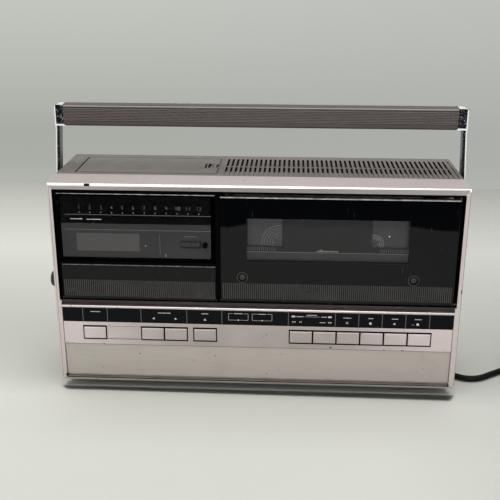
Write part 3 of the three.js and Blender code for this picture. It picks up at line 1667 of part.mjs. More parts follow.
// Round rubber cap on the left side, with a stem in the cover's hole
function sideSocketCap() {
  const outer = -casingHalf - sideCapReach;
  const profile = [[0, outer], [sideCapRadius - sideCapRound, outer]];
  for (let i = 1; i <= arcSteps; i++) {
    const angle = (Math.PI / 2) * (i / arcSteps);
    profile.push([
      sideCapRadius - sideCapRound + sideCapRound * Math.sin(angle),
      outer + sideCapRound - sideCapRound * Math.cos(angle),
    ]);
  }
  profile.push([sideCapRadius, -casingHalf - seam]);
  profile.push([sideCapStemRadius, -casingHalf - seam]);
  profile.push([sideCapStemRadius, sideCapStem - casingHalf]);
  profile.push([0, sideCapStem - casingHalf]);
  return piece(
    "side_socket_cap", turnedAcross(profile, sideCapDepth, sideCapZ, plainSides), rubber(),
  );
}

// Strain relief: a stem through the rear cover, a flange, and a ringed nose round the cord's start
function strainRelief() {
  const [x, , height] = cordPath[0];
  const z = height - footHeight;
  const flangeFront = casingDepth + seam;
  const noseFront = flangeFront + reliefFlange;
  const noseBack = noseFront + reliefNose;
  const profile = [
    [0, casingDepth - reliefStem],
    [reliefStemRadius, casingDepth - reliefStem],
    [reliefStemRadius, flangeFront],
    [reliefFlangeRadius, flangeFront],
    [reliefFlangeRadius, noseFront],
  ];
  const rings = 4;
  const ring = reliefNose / (2 * rings);
  const radiusAt = (share) =>
    THREE.MathUtils.lerp(reliefNoseRadius, reliefNoseEndRadius, share);
  for (let i = 0; i < rings; i++) {
    const start = noseFront + 2 * i * ring;
    const grooveRadius = radiusAt(i / rings) - reliefRingDepth;
    const ringRadius = radiusAt((i + 1) / rings);
    profile.push([grooveRadius, start], [grooveRadius, start + ring]);
    profile.push([ringRadius, start + ring], [ringRadius, start + 2 * ring]);
  }
  profile.push([0, noseBack]);
  return piece("strain_relief", turnedBack(profile, x, z, plainSides), rubber());
}

// The cord's free stretch, from the strain relief to the coil
function powerCord() {
  const points = cordPath.map(([x, y, height]) => new THREE.Vector3(x, y, height - footHeight));
  const path = new THREE.CatmullRomCurve3(points, false, "centripetal");
  const section = new THREE.Shape();
  for (let i = 0; i < cordSides; i++) {
    const angle = (2 * Math.PI * (i + 0.5)) / cordSides;
    const a = (cordDiameter / 2) * Math.cos(angle);
    const b = (cordDiameter / 2) * Math.sin(angle);
    if (i === 0) section.moveTo(a, b);
    else section.lineTo(a, b);
  }
  const geometry = new THREE.ExtrudeGeometry(section, { steps: cordSteps, extrudePath: path });
  console.log("free cord " + path.getLength().toFixed(0) + " mm");
  return piece("power_cord", solid(geometry), rubber());
}

// Centres of the coil's tube: a straight lead, the wound layers and the tail down to the plug
function coilCentres() {
  const start = THREE.MathUtils.degToRad(coilStartDegrees);
  const turnsPerLayer = coilTurns / coilLayers;
  const steps = Math.round(coilTurns * coilSteps);
  const swing = coilTurnPitch * turnsPerLayer;
  const floor = cordDiameter / 2 + cordLift - footHeight;
  const climb = 0.5; // turns that one change of layer takes
  const centres = [];
  for (let i = 0; i <= steps; i++) {
    const turns = (i * coilTurns) / steps;
    const layer = Math.min(Math.floor(turns / turnsPerLayer), coilLayers - 1);
    const share = turns / turnsPerLayer - layer;
    const inward = layer % 2 === 0 ? share : 1 - share;
    const radius = coilMiddleRadius + swing * (0.5 - inward);
    let level = 0;
    for (let change = 1; change < coilLayers; change++) {
      const done = (turns - change * turnsPerLayer) / climb + 0.5;
      level += THREE.MathUtils.smoothstep(done, 0, 1);
    }
    const angle = start - 2 * Math.PI * turns;
    centres.push(new THREE.Vector3(
      coilX + radius * Math.cos(angle),
      coilDepth + radius * Math.sin(angle),
      floor + level * coilLayerPitch,
    ));
  }
  const first = centres[0];
  const lead = new THREE.Vector3(Math.sin(start), -Math.cos(start), 0);
  centres.unshift(first.clone().addScaledVector(lead, -cordDiameter));
  const last = centres[centres.length - 1];
  const end = start - 2 * Math.PI * coilTurns;
  const away = new THREE.Vector3(Math.sin(end), -Math.cos(end), 0);
  const drop = last.z - (plugAxis - footHeight);
  for (let i = 1; i <= tailSteps; i++) {
    const share = i / tailSteps;
    const next = last.clone().addScaledVector(away, tailDrop * share);
    next.z = last.z - drop * THREE.MathUtils.smoothstep(share, 0, 1);
    centres.push(next);
  }
  centres.push(centres[centres.length - 1].clone().addScaledVector(away, cordDiameter));
  return { centres, away };
}

// Least gap between turns: the distance between centres that lie more than half a turn apart
function leastGap(centres) {
  let least = Infinity;
  const apart = coilSteps / 2;
  for (let i = 0; i < centres.length; i++) {
    for (let j = i + apart; j < centres.length; j++) {
      least = Math.min(least, centres[i].distanceTo(centres[j]));
    }
  }
  return least - cordDiameter;
}

// One unbroken tube of flat-topped rings about the centres, closed at both ends
function tubeAbout(centres, sides) {
  const up = new THREE.Vector3(0, 0, 1);
  const corners = [];
  centres.forEach((centre, i) => {
    const before = centres[Math.max(i - 1, 0)];
    const after = centres[Math.min(i + 1, centres.length - 1)];
    const along = after.clone().sub(before).normalize();
    const out = up.clone().cross(along).normalize();
    const over = along.clone().cross(out);
    for (let k = 0; k < sides; k++) {
      const angle = (2 * Math.PI * k) / sides;
      const corner = centre.clone()
        .addScaledVector(out, (cordDiameter / 2) * Math.cos(angle))
        .addScaledVector(over, (cordDiameter / 2) * Math.sin(angle));
      corners.push(corner.x, corner.y, corner.z);
    }
  });
  const faces = [];
  const at = (ring, k) => ring * sides + (k % sides);
  for (let ring = 0; ring + 1 < centres.length; ring++) {
    for (let k = 0; k < sides; k++) {
      faces.push(at(ring, k), at(ring, k + 1), at(ring + 1, k + 1));
      faces.push(at(ring, k), at(ring + 1, k + 1), at(ring + 1, k));
    }
  }
  const end = centres.length - 1;
  for (let k = 1; k + 1 < sides; k++) {
    faces.push(at(0, 0), at(0, k + 1), at(0, k));
    faces.push(at(end, 0), at(end, k), at(end, k + 1));
  }
  const geometry = new THREE.BufferGeometry();
  geometry.setAttribute("position", new THREE.Float32BufferAttribute(corners, 3));
  geometry.setIndex(faces);
  return solid(geometry);
}

function powerCordCoil() {
  const { centres } = coilCentres();
  let length = 0;
  for (let i = 1; i < centres.length; i++) length += centres[i].distanceTo(centres[i - 1]);
  console.log("coil " + length.toFixed(0) + " mm, least gap " + leastGap(centres).toFixed(2) + " mm");
  return piece("power_cord_coil", tubeAbout(centres, coilSides), rubber());
}

// Plug: a tapered body and two flat blades, in line with the cord's tail
function powerPlug() {
  const { centres, away } = coilCentres();
  const end = centres[centres.length - 1];
  const neckHeight = plugHeight * (plugNeckWidth / plugWidth + 1) / 2;
  const body = tapered(
    [-plugNeckWidth / 2, plugNeckWidth / 2, -neckHeight / 2, neckHeight / 2], seam,
    [-plugWidth / 2, plugWidth / 2, -plugHeight / 2, plugHeight / 2], seam + plugLength / 2,
  );
  const grip = box(
    -plugWidth / 2, plugWidth / 2, seam + plugLength / 2, seam + plugLength,
    -plugHeight / 2, plugHeight / 2,
  );
  const blades = [-1, 1].map((side) =>
    box(
      (side * bladeSpacing - bladeThickness) / 2, (side * bladeSpacing + bladeThickness) / 2,
      seam + plugLength / 2, seam + plugLength + bladeLength,
      -bladeWidth / 2, bladeWidth / 2,
    ),
  );
  const mesh = piece("power_plug", joined(body, grip, ...blades), rubber());
  mesh.rotation.z = Math.atan2(away.y, away.x) - Math.PI / 2;
  mesh.position.copy(end);
  return mesh;
}

const casing = new THREE.Group();
casing.add(frontBezel(), topCover(), rearCover(), bottomPan());
casing.add(...Object.keys(footPlaces).map(foot));
casing.add(lowerPanel(), controlPanel(), legendStrip(), trimStrip(), leftBay());
casing.add(displayWindow(), displayBoard(), counterDrum(), counterResetButton());
casing.add(flipDoor(), trackingKnob(), batteryTray(), batteryLid(), lidLatch(), sideSocketCap());

const buttons = new THREE.Group();
buttons.add(...[...buttonPlaces.keys()].map(button));

const loader = new THREE.Group();
loader.add(cassetteDoor(), doorLens(), cassetteHolder(), cassetteShell());
loader.add(cassetteReel("supply_reel", hubLeft, supplyPackRadius));
loader.add(cassetteReel("takeup_reel", hubRight, takeupPackRadius));

const deck = new THREE.Group();
deck.add(deckChassis(), spindle("supply_spindle", hubLeft), spindle("takeup_spindle", hubRight));
deck.add(lowerDrum(), upperDrum(), capstan(), capstanMotor(), pinchArm(), pinchRoller());
deck.add(mainBoard(), transformer());

const handle = new THREE.Group();
handle.add(handleArm("handle_arm_left", -1), handleArm("handle_arm_right", 1), handleGrip());
handle.add(handlePivot("handle_pivot_left", -1), handlePivot("handle_pivot_right", 1));

const cord = new THREE.Group();
cord.add(strainRelief(), powerCord(), powerCordCoil(), powerPlug());

const recorder = new THREE.Group();
recorder.add(casing, buttons, loader, deck, handle, cord);
recorder.position.set(0, -casingDepth / 2, footHeight);

const part = new THREE.Group();
part.add(recorder);

export default part;
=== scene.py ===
"""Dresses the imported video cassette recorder: fine shapes, finishes, studio and camera.

Metres, +Z up, and the front faces -Y. Lengths that at() turns into places are in millimetres,
measured as on the real thing: x from the middle, depth behind the front frame, height above its
lower edge. Lengths that are compared with the corners or faces of a mesh are in metres.
"""

import math

import bmesh
import bpy
from mathutils import Matrix, Vector


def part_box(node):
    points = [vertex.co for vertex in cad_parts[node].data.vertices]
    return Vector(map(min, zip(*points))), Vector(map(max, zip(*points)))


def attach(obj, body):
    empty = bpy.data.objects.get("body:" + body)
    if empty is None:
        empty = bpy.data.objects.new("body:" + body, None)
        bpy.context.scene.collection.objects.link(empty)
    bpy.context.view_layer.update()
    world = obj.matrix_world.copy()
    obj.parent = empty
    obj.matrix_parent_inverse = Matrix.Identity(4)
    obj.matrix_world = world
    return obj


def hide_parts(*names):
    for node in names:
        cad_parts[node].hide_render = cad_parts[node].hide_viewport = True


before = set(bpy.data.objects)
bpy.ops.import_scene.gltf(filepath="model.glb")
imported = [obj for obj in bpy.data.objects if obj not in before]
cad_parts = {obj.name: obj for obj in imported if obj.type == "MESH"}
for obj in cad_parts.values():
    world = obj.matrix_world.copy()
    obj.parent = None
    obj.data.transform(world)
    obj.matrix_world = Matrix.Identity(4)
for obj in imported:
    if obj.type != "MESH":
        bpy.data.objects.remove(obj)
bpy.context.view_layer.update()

bl_info = {
    "name": "Video cassette recorder",
    "version": (1, 0, 0),
    "blender": (4, 5, 0),
    "location": "View3D > Sidebar > Recorder",
    "description": "Builds the looks of a portable video cassette recorder on its packed frame",
    "category": "Object",
}

MM = 0.001
HALF_DEPTH = 47.5  # of the casing
FOOT_HEIGHT = 8.0
FACE = 2.5  # depth of the windows and doors behind the front frame
SUNK = 0.75  # depth of the ribbed band in a door
HUB_HEIGHT = 150.55
HUBS = {"supply_reel": 22.4, "takeup_reel": 114.4}
CLOSE = 1e-4  # metres within which a point counts as lying on a face
WELD = 2e-6  # metres within which the corners of loose triangles are one point


def at(x, depth, height):
    """Place in the frame of a point measured on the recorder, in millimetres."""
    return Vector((x, depth - HALF_DEPTH, height + FOOT_HEIGHT)) * MM


def srgb(red, green, blue):
    """Linear colour of an 8-bit screen colour."""
    def linear(value):
        share = value / 255
        return share / 12.92 if share <= 0.04045 else ((share + 0.055) / 1.055) ** 2.4

    return (linear(red), linear(green), linear(blue))


def length(name, description, default):
    return bpy.props.FloatProperty(
        name=name, description=description, default=default, min=0, precision=5,
        unit="LENGTH", subtype="DISTANCE",
    )


def colour(name, description, default):
    return bpy.props.FloatVectorProperty(
        name=name, description=description, default=default, min=0, max=1, size=3,
        subtype="COLOR",
    )


def angle(name, description, degrees):
    return bpy.props.FloatProperty(
        name=name, description=description, default=math.radians(degrees), subtype="ANGLE",
    )


def amount(name, description, default):
    return bpy.props.FloatProperty(name=name, description=description, default=default, min=0)


class RecorderSizes(bpy.types.PropertyGroup):
    edge_radius: length("Edge radius", "Rounding of the moulded and bent edges", 0.0004)
    bright_edge: length("Bright edge", "Width of the polished edge of the front frame", 0.0016)
    button_edge: length("Button edge", "Rounding of the push buttons", 0.00025)
    print_height: length("Print height", "How far the printed marks stand proud", 0.00005)
    rib_pitch: length("Rib pitch", "Spacing of the upright ribs of both doors", 0.002)
    rib_width: length("Rib width", "Width of one upright rib", 0.0012)
    grip_rib_pitch: length("Grip rib pitch", "Spacing of the long ribs of the grip", 0.00155)
    screw_radius: length("Screw radius", "Radius of the small screw heads", 0.0029)
    digit_height: length("Digit height", "Height of the channel numbers", 0.0041)


class RecorderColours(bpy.types.PropertyGroup):
    champagne: colour("Champagne", "Pinkish metal of the frame", srgb(197, 184, 183))
    # Grey that the frame's metal takes towards its middle.
    champagne_middle: colour("Worn champagne", "Greyer worn parts of it", srgb(176, 169, 163))
    # The bright colour is a painted highlight on the polished edge.
    bright: colour("Bright metal", "Polished edges and moulding", srgb(235, 230, 228))
    lower_panel: colour("Lower panel", "Greyish metal of the lower panel", srgb(176, 169, 161))
    cover: colour("Cover", "Paint of the top cover", srgb(110, 103, 99))
    lid: colour("Lid", "Paint of the battery lid", srgb(118, 113, 109))
    grip: colour("Grip", "Plastic of the handle's grip", srgb(70, 52, 50))
    black: colour("Black", "Gloss black of the front", srgb(5, 6, 8))
    # The ribs' grey is a painted sheen on black ribs.
    rib: colour("Ribbed black", "Satin black of the ribbed bands", srgb(62, 61, 59))
    # The brown band is painted shade of the recess under the doors.
    brown: colour("Brown band", "Dark band over the bright moulding", srgb(31, 22, 20))
    printing: colour("Printing", "Light printed marks", srgb(205, 203, 196))
    dim_printing: colour("Dim printing", "Faint printed marks", srgb(96, 97, 96))
    cord: colour("Cord", "Black of the cord and rubber", srgb(13, 12, 12))
    floor: colour("Floor", "Pale floor", srgb(214, 215, 208))


class RecorderStudio(bpy.types.PropertyGroup):
    camera_place: bpy.props.FloatVectorProperty(
        name="Camera place", description="Where the camera stands", size=3,
        default=(0.0325, -0.8195, 0.430), subtype="TRANSLATION", unit="LENGTH",
    )
    camera_yaw: angle("Camera yaw", "Turn to the right", -2.87)
    camera_pitch: angle("Camera pitch", "Tilt down", 19.66)
    camera_roll: angle("Camera roll", "Roll of the picture", 0.11)
    lens: amount("Lens", "Focal length in millimetres on a 36 mm sensor", 60.79)
    key: amount("Key light", "Strength of the light overhead", 2.3)
    fill: amount("Fill light", "Strength of the low light in front", 1.2)
    ambient: amount("Ambient", "Strength of the light from all round", 0.3)


def sizes():
    return bpy.context.scene.recorder_sizes


def colours():
    return bpy.context.scene.recorder_colours


# Meshes


def add_piece(name, mesh):
    piece = bpy.data.objects.new(name, mesh)
    bpy.context.scene.collection.objects.link(piece)
    return piece


def mesh_of(name, points, faces):
    """Closed mesh with its faces turned outward."""
    mesh = bpy.data.meshes.new(name)
    mesh.from_pydata([tuple(p) for p in points], [], faces)
    shell = bmesh.new()
    shell.from_mesh(mesh)
    bmesh.ops.recalc_face_normals(shell, faces=shell.faces)
    shell.to_mesh(mesh)
    shell.free()
    return mesh


def join_shapes(shapes):
    """Points and faces of several shapes as one."""
    points, faces = [], []
    for some_points, some_faces in shapes:
        start = len(points)
        points += some_points
        faces += [[start + i for i in face] for face in some_faces]
    return points, faces


def prism(outline, start, end, place):
    """Shape between two copies of an outline; place(a, b, station) gives a point."""
    count = len(outline)
    points = [place(a, b, start) for a, b in outline] + [place(a, b, end) for a, b in outline]
    faces = [list(range(count))[::-1], [count + i for i in range(count)]]
    for i in range(count):
        j = (i + 1) % count
        faces.append([i, j, count + j, count + i])
    return points, faces


def run_back(outline, front, back):
    """Outline in x and height, run along the depth."""
    return prism(outline, front, back, lambda x, z, y: at(x, y, z))


def run_across(outline, left, right):
    """Outline in depth and height, run from left to right."""
    return prism(outline, left, right, lambda y, z, x: at(x, y, z))


def run_up(outline, bottom, top):
    """Outline in x and depth, run upward."""
    return prism(outline, bottom, top, lambda x, y, z: at(x, y, z))


def rectangle(left, right, bottom, top):
    return [(left, bottom), (right, bottom), (right, top), (left, top)]


def rounded(left, right, bottom, top, radius, steps=5):
    """Rectangle with round corners."""
    outline = []
    corners = ((right, top, 0), (left, top, 90), (left, bottom, 180), (right, bottom, 270))
    for x, z, start in corners:
        cx = x - radius if x == right else x + radius
        cz = z - radius if z == top else z + radius
        for i in range(steps + 1):
            angle = math.radians(start + 90 * i / steps)
            outline.append((cx + radius * math.cos(angle), cz + radius * math.sin(angle)))
    return outline


def circle(x, z, radius, sides=24, turn=0.0):
    step = 2 * math.pi / sides
    return [
        (x + radius * math.cos(turn + i * step), z + radius * math.sin(turn + i * step))
        for i in range(sides)
    ]


def box(left, right, front, back, bottom, top):
    return run_back(rectangle(left, right, bottom, top), front, back)


def lathe(profile, sides, place):
    """Shape turned about an axis. The profile is (radius, station) pairs from end to end, both at
    radius 0, and place(a, b, station) gives a point."""
    points, faces, rings = [], [], []
    for radius, station in profile:
        if radius == 0:
            rings.append([len(points)])
            points.append(place(0, 0, station))
        else:
            rings.append(list(range(len(points), len(points) + sides)))
            for i in range(sides):
                angle = 2 * math.pi * i / sides
                points.append(place(radius * math.cos(angle), radius * math.sin(angle), station))
    for ring, after in zip(rings, rings[1:]):
        for i in range(sides):
            j = (i + 1) % sides
            quad = [ring[i % len(ring)], ring[j % len(ring)]]
            quad += [after[j % len(after)], after[i % len(after)]]
            face = list(dict.fromkeys(quad))
            if len(face) > 2:
                faces.append(face)
    return points, faces


def turned_back(profile, x, height, sides=32):
    """Lathe about a line that runs along the depth."""
    return lathe(profile, sides, lambda a, b, y: at(x + a, y, height + b))


def turned_across(profile, depth, height, sides=32):
    """Lathe about a line that runs from left to right."""
    return lathe(profile, sides, lambda a, b, x: at(x, depth + a, height + b))


def solid(name, *shapes):
    return add_piece(name, mesh_of(name, *join_shapes(shapes)))


def merged(node, name):
    """A copy of a CAD node's mesh with its loose triangles joined."""
    shell = bmesh.new()
    shell.from_mesh(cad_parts[node].data)
    bmesh.ops.remove_doubles(shell, verts=shell.verts, dist=WELD)
    shell.verts.index_update()
    points = [vertex.co.copy() for vertex in shell.verts]
    faces = [[vertex.index for vertex in face.verts] for face in shell.faces]
    shell.free()
    mesh = bpy.data.meshes.new(name)
    mesh.from_pydata([tuple(p) for p in points], [], faces)
    return add_piece(name, mesh)


def settle(piece):
    """Turns what the piece's modifiers give into its plain mesh."""
    bpy.context.view_layer.update()
    graph = bpy.context.evaluated_depsgraph_get()
    made = bpy.data.meshes.new_from_object(
        piece.evaluated_get(graph), preserve_all_data_layers=True, depsgraph=graph,
    )
    piece.modifiers.clear()
    old = piece.data
    piece.data = made
    bpy.data.meshes.remove(old)
    return piece


def remove(piece):
    mesh = piece.data
    bpy.data.objects.remove(piece)
    bpy.data.meshes.remove(mesh)


def carve(piece, *shapes):
    """Cuts shapes out of a piece."""
    tool = solid("cutter", *shapes)
    change = piece.modifiers.new("Cut", "BOOLEAN")
    change.operation = "DIFFERENCE"
    change.solver = "EXACT"
    change.object = tool
    settle(piece)
    remove(tool)
    return piece


def smooth(piece, angle=35):
    piece.data.shade_smooth()
    piece.data.set_sharp_from_angle(angle=math.radians(angle))
    return piece


def soften(piece, radius, segments=2, angle=30, chosen=None):
    """Rounds the edges sharper than an angle, or those that chosen(a, b) picks, which then take the
    piece's second finish."""
    change = piece.modifiers.new("Round", "BEVEL")
    change.width = radius
    change.segments = segments
    change.miter_outer = "MITER_ARC"
    if chosen:
        mesh = piece.data
        weight = mesh.attributes.get("bevel_weight_edge")
        weight = weight or mesh.attributes.new("bevel_weight_edge", "FLOAT", "EDGE")
        for edge in mesh.edges:
            a, b = (mesh.vertices[i].co for i in edge.vertices)
            weight.data[edge.index].value = chosen(a, b)
        change.limit_method = "WEIGHT"
        change.material = 1
        while len(mesh.materials) < 2:
            mesh.materials.append(None)
    else:
        change.limit_method = "ANGLE"
        change.angle_limit = math.radians(angle)
    settle(piece)
    smooth(piece)
    flat = piece.modifiers.new("Flat faces", "WEIGHTED_NORMAL")
    flat.keep_sharp = True
    return settle(piece)


def rounded_solid(name, radius, *shapes, segments=2, angle=30):
    return soften(solid(name, *shapes), radius, segments, angle)


def upper_front_edge(front, top):
    """Picks for soften the edges along a piece's front and top."""
    def chosen(a, b):
        picked = max(a.y, b.y) < front + CLOSE and min(a.z, b.z) > top - CLOSE
        return 1.0 if picked else 0.0

    return chosen


def paint(piece, coats, pick=None):
    """Gives a piece its finishes by name. With pick(face), a face takes the one that is named, or
    stays as it is where none is."""
    names = (coats,) if isinstance(coats, str) else coats
    materials = piece.data.materials
    for i, name in enumerate(names):
        if i < len(materials):
            materials[i] = finish(name)
        else:
            materials.append(finish(name))
    for face in piece.data.polygons if pick else ():
        name = pick(face)
        if name:
            face.material_index = names.index(name)


def wear(piece, body, coats, slot, *nodes, pick=None):
    """Paints a piece, puts it on the empty of the CAD body that it rides on, and hides the nodes it
    stands for.
    """
    paint(piece, coats, pick)
    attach(piece, body)
    if nodes:
        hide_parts(*nodes)
    return piece


def part(name, body, coats, slot, *shapes):
    """A small form of its own."""
    return wear(solid(name, *shapes), body, coats, slot)


def refined(node, body, coats, slot, radius=None, segments=2, angle=30):
    """A CAD node's shape with rounded edges and its finish."""
    piece = merged(node, node + "_shape")
    soften(piece, sizes().edge_radius if radius is None else radius, segments, angle)
    return wear(piece, body, coats, slot, node)


def refine_all(pieces):
    for piece in pieces:
        refined(*piece)


def paint_node(node, coat):
    """Gives a CAD node that keeps its own mesh a finish."""
    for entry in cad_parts[node].material_slots:
        entry.material = finish(coat)


# Geometry Nodes


class Tree:
    """A Geometry Nodes tree with named inputs that ends in one finish."""

    kinds = {
        "Count": "NodeSocketInt", "Start": "NodeSocketVector", "Step": "NodeSocketVector",
        "Item": "NodeSocketObject", "Finish": "NodeSocketMaterial", "Radius": "NodeSocketFloat",
        "Spread": "NodeSocketFloat", "Seed": "NodeSocketInt",
    }

    def __init__(self, name, inputs):
        self.tree = bpy.data.node_groups.new(name, "GeometryNodeTree")
        face = self.tree.interface
        face.new_socket("Geometry", in_out="INPUT", socket_type="NodeSocketGeometry")
        for entry in inputs:
            face.new_socket(entry, in_out="INPUT", socket_type=self.kinds[entry])
        face.new_socket("Geometry", in_out="OUTPUT", socket_type="NodeSocketGeometry")
        self.given = self.node("NodeGroupInput").outputs
        self.result = self.node("NodeGroupOutput")

    def node(self, kind, **settings):
        made = self.tree.nodes.new(kind)
        for name, value in settings.items():
            setattr(made, name, value)
        return made

    def join(self, *pairs):
        """Links sockets, each pair from the first to the second."""
        for source, target in pairs:
            self.tree.links.new(source, target)

    def place_items(self, points, turn=None, size=None):
        """Puts the item on points, makes the copies real and gives them the finish."""
        source = self.node("GeometryNodeObjectInfo", transform_space="ORIGINAL")
        copies = self.node("GeometryNodeInstanceOnPoints")
        real = self.node("GeometryNodeRealizeInstances")
        coat = self.node("GeometryNodeSetMaterial")
        self.join(
            (self.given["Item"], source.inputs["Object"]),
            (points, copies.inputs["Points"]),
            (source.outputs["Geometry"], copies.inputs["Instance"]),
            (copies.outputs["Instances"], real.inputs["Geometry"]),
            (real.outputs["Geometry"], coat.inputs["Geometry"]),
            (self.given["Finish"], coat.inputs["Material"]),
            (coat.outputs["Geometry"], self.result.inputs["Geometry"]),
        )
        if turn:
            self.join((turn, copies.inputs["Rotation"]))
        if size:
            self.join((size, copies.inputs["Scale"]))
        return self.tree


def row_tree():
    """Copies of an item in a straight row."""
    made = Tree("Row", ["Item", "Count", "Start", "Step", "Finish"])
    line = made.node("GeometryNodeMeshLine", mode="OFFSET")
    made.join(
        (made.given["Count"], line.inputs["Count"]),
        (made.given["Start"], line.inputs["Start Location"]),
        (made.given["Step"], line.inputs["Offset"]),
    )
    return made.place_items(line.outputs["Mesh"])


def ring_tree():
    """Copies of an item about a line through Start that runs along the depth."""
    made = Tree("Ring", ["Item", "Count", "Start", "Radius", "Finish"])
    line = made.node("GeometryNodeMeshLine", mode="OFFSET")
    line.inputs["Offset"].default_value = (0, 0, 0)
    index = made.node("GeometryNodeInputIndex")
    turn = made.node("ShaderNodeMath", operation="MULTIPLY")
    share = made.node("ShaderNodeMath", operation="DIVIDE")
    share.inputs[0].default_value = -2 * math.pi
    angles = made.node("ShaderNodeCombineXYZ")
    spin = made.node("FunctionNodeEulerToRotation")
    arm = made.node("ShaderNodeCombineXYZ")
    swung = made.node("FunctionNodeRotateVector")
    place = made.node("ShaderNodeVectorMath", operation="ADD")
    moved = made.node("GeometryNodeSetPosition")
    made.join(
        (made.given["Count"], line.inputs["Count"]),
        (made.given["Count"], share.inputs[1]),
        (index.outputs["Index"], turn.inputs[0]),
        (share.outputs[0], turn.inputs[1]),
        (turn.outputs[0], angles.inputs["Y"]),
        (angles.outputs["Vector"], spin.inputs["Euler"]),
        (made.given["Radius"], arm.inputs["X"]),
        (arm.outputs["Vector"], swung.inputs["Vector"]),
        (spin.outputs["Rotation"], swung.inputs["Rotation"]),
        (swung.outputs["Vector"], place.inputs[0]),
        (made.given["Start"], place.inputs[1]),
        (line.outputs["Mesh"], moved.inputs["Geometry"]),
        (place.outputs["Vector"], moved.inputs["Position"]),
    )
    return made.place_items(moved.outputs["Geometry"], turn=spin.outputs["Rotation"])


def places_tree():
    """An item on every point that the tree is given, with a seeded spread of sizes."""
    made = Tree("Places", ["Item", "Spread", "Seed", "Finish"])
    chance = made.node("FunctionNodeRandomValue", data_type="FLOAT")
    low = made.node("ShaderNodeMath", operation="SUBTRACT")
    low.inputs[0].default_value = 1
    floats = [entry for entry in chance.inputs if entry.type == "VALUE"]
    floats[1].default_value = 1
    seed = [entry for entry in chance.inputs if entry.name == "Seed"][0]
    made.join(
        (made.given["Spread"], low.inputs[1]), (low.outputs[0], floats[0]),
        (made.given["Seed"], seed),
    )
    value = [entry for entry in chance.outputs if entry.type == "VALUE"][0]
    return made.place_items(made.given["Geometry"], size=value)


TREES = {"row": row_tree, "ring": ring_tree, "places": places_tree}
trees = {}


def grow(name, kind, shape, body, coat, slot, points=((0, 0, 0),), **values):
    """A piece that one of the trees makes of a shape, as a plain mesh; the shape itself goes."""
    if kind not in trees:
        trees[kind] = TREES[kind]()
    mesh = bpy.data.meshes.new(name)
    mesh.from_pydata([tuple(p) for p in points], [], [])
    piece = add_piece(name, mesh)
    growth = piece.modifiers.new("Grow", "NODES")
    growth.node_group = trees[kind]
    values = {"Spread": 0.0, "Seed": 1, **values, "Item": shape, "Finish": finish(coat)}
    for entry in trees[kind].interface.items_tree:
        if entry.in_out == "INPUT" and entry.name in values:
            growth[entry.identifier] = values[entry.name]
    settle(piece)
    remove(shape)
    return wear(piece, body, coat, slot)


def item(name, *shapes, radius=0.0, segments=2, origin=None):
    """A shape to be repeated, measured about its own middle in millimetres."""
    piece = solid(name, *shapes)
    piece.data.transform(Matrix.Translation(-(origin if origin else at(0, 0, 0))))
    if radius:
        soften(piece, radius, segments)
    else:
        smooth(piece)
    return piece


def screw_item(radius, facing=-1):
    """Pan head with a cross recess, facing the front (-1) or the back (1)."""
    profile = [(0, 0.3), (radius, 0.3), (radius, -0.35), (radius * 0.82, -0.95), (0, -1.15)]
    head = solid("screw", turned_back([(r, -facing * y) for r, y in profile], 0, 0, 20))
    reach, half, middle = radius * 0.55, 0.32, facing * 2.4
    for wide, tall in ((reach, half), (half, reach)):
        carve(head, box(-wide, wide, middle - 2, middle + 2, -tall, tall))
    head.data.transform(Matrix.Translation(-at(0, 0, 0)))
    return smooth(head, 28)


# Finishes


class Shading:
    """Nodes of a material or of the world."""

    def __init__(self, tree):
        self.nodes = tree.nodes
        self.links = tree.links

    def put(self, value, socket):
        if isinstance(value, bpy.types.NodeSocket):
            self.links.new(value, socket)
        elif hasattr(value, "__len__") and len(value) == 3 and socket.type == "RGBA":
            socket.default_value = (*value, 1)
        else:
            socket.default_value = value

    def node(self, kind, inputs=None, **settings):
        made = self.nodes.new(kind)
        for name, value in settings.items():
            setattr(made, name, value)
        for name, value in (inputs or {}).items():
            self.put(value, made.inputs[name])
        return made

    def remap(self, value, low, high, to_low=0.0, to_high=1.0):
        made = self.node("ShaderNodeMapRange", {
            "Value": value, "From Min": low, "From Max": high, "To Min": to_low, "To Max": to_high,
        })
        return made.outputs["Result"]

    def maths(self, operation, a, b=0.0):
        made = self.node("ShaderNodeMath", operation=operation)
        self.put(a, made.inputs[0])
        self.put(b, made.inputs[1])
        return made.outputs[0]

    def mix(self, share, a, b):
        made = self.node("ShaderNodeMix", data_type="RGBA")
        self.put(share, made.inputs["Factor"])
        colours_in = [entry for entry in made.inputs if entry.type == "RGBA"]
        self.put(a, colours_in[0])
        self.put(b, colours_in[1])
        return [entry for entry in made.outputs if entry.type == "RGBA"][0]

    def ramp(self, value, stops, interpolation="LINEAR"):
        """Colour of a value by its stops, each a place and a colour."""
        made = self.node("ShaderNodeValToRGB", {"Fac": value})
        made.color_ramp.interpolation = interpolation
        elements = made.color_ramp.elements
        while len(elements) < len(stops):
            elements.new(0.5)
        for element, (place, tone) in zip(elements, stops):
            element.position = place
            element.color = (*tone, 1)
        return made.outputs["Color"]


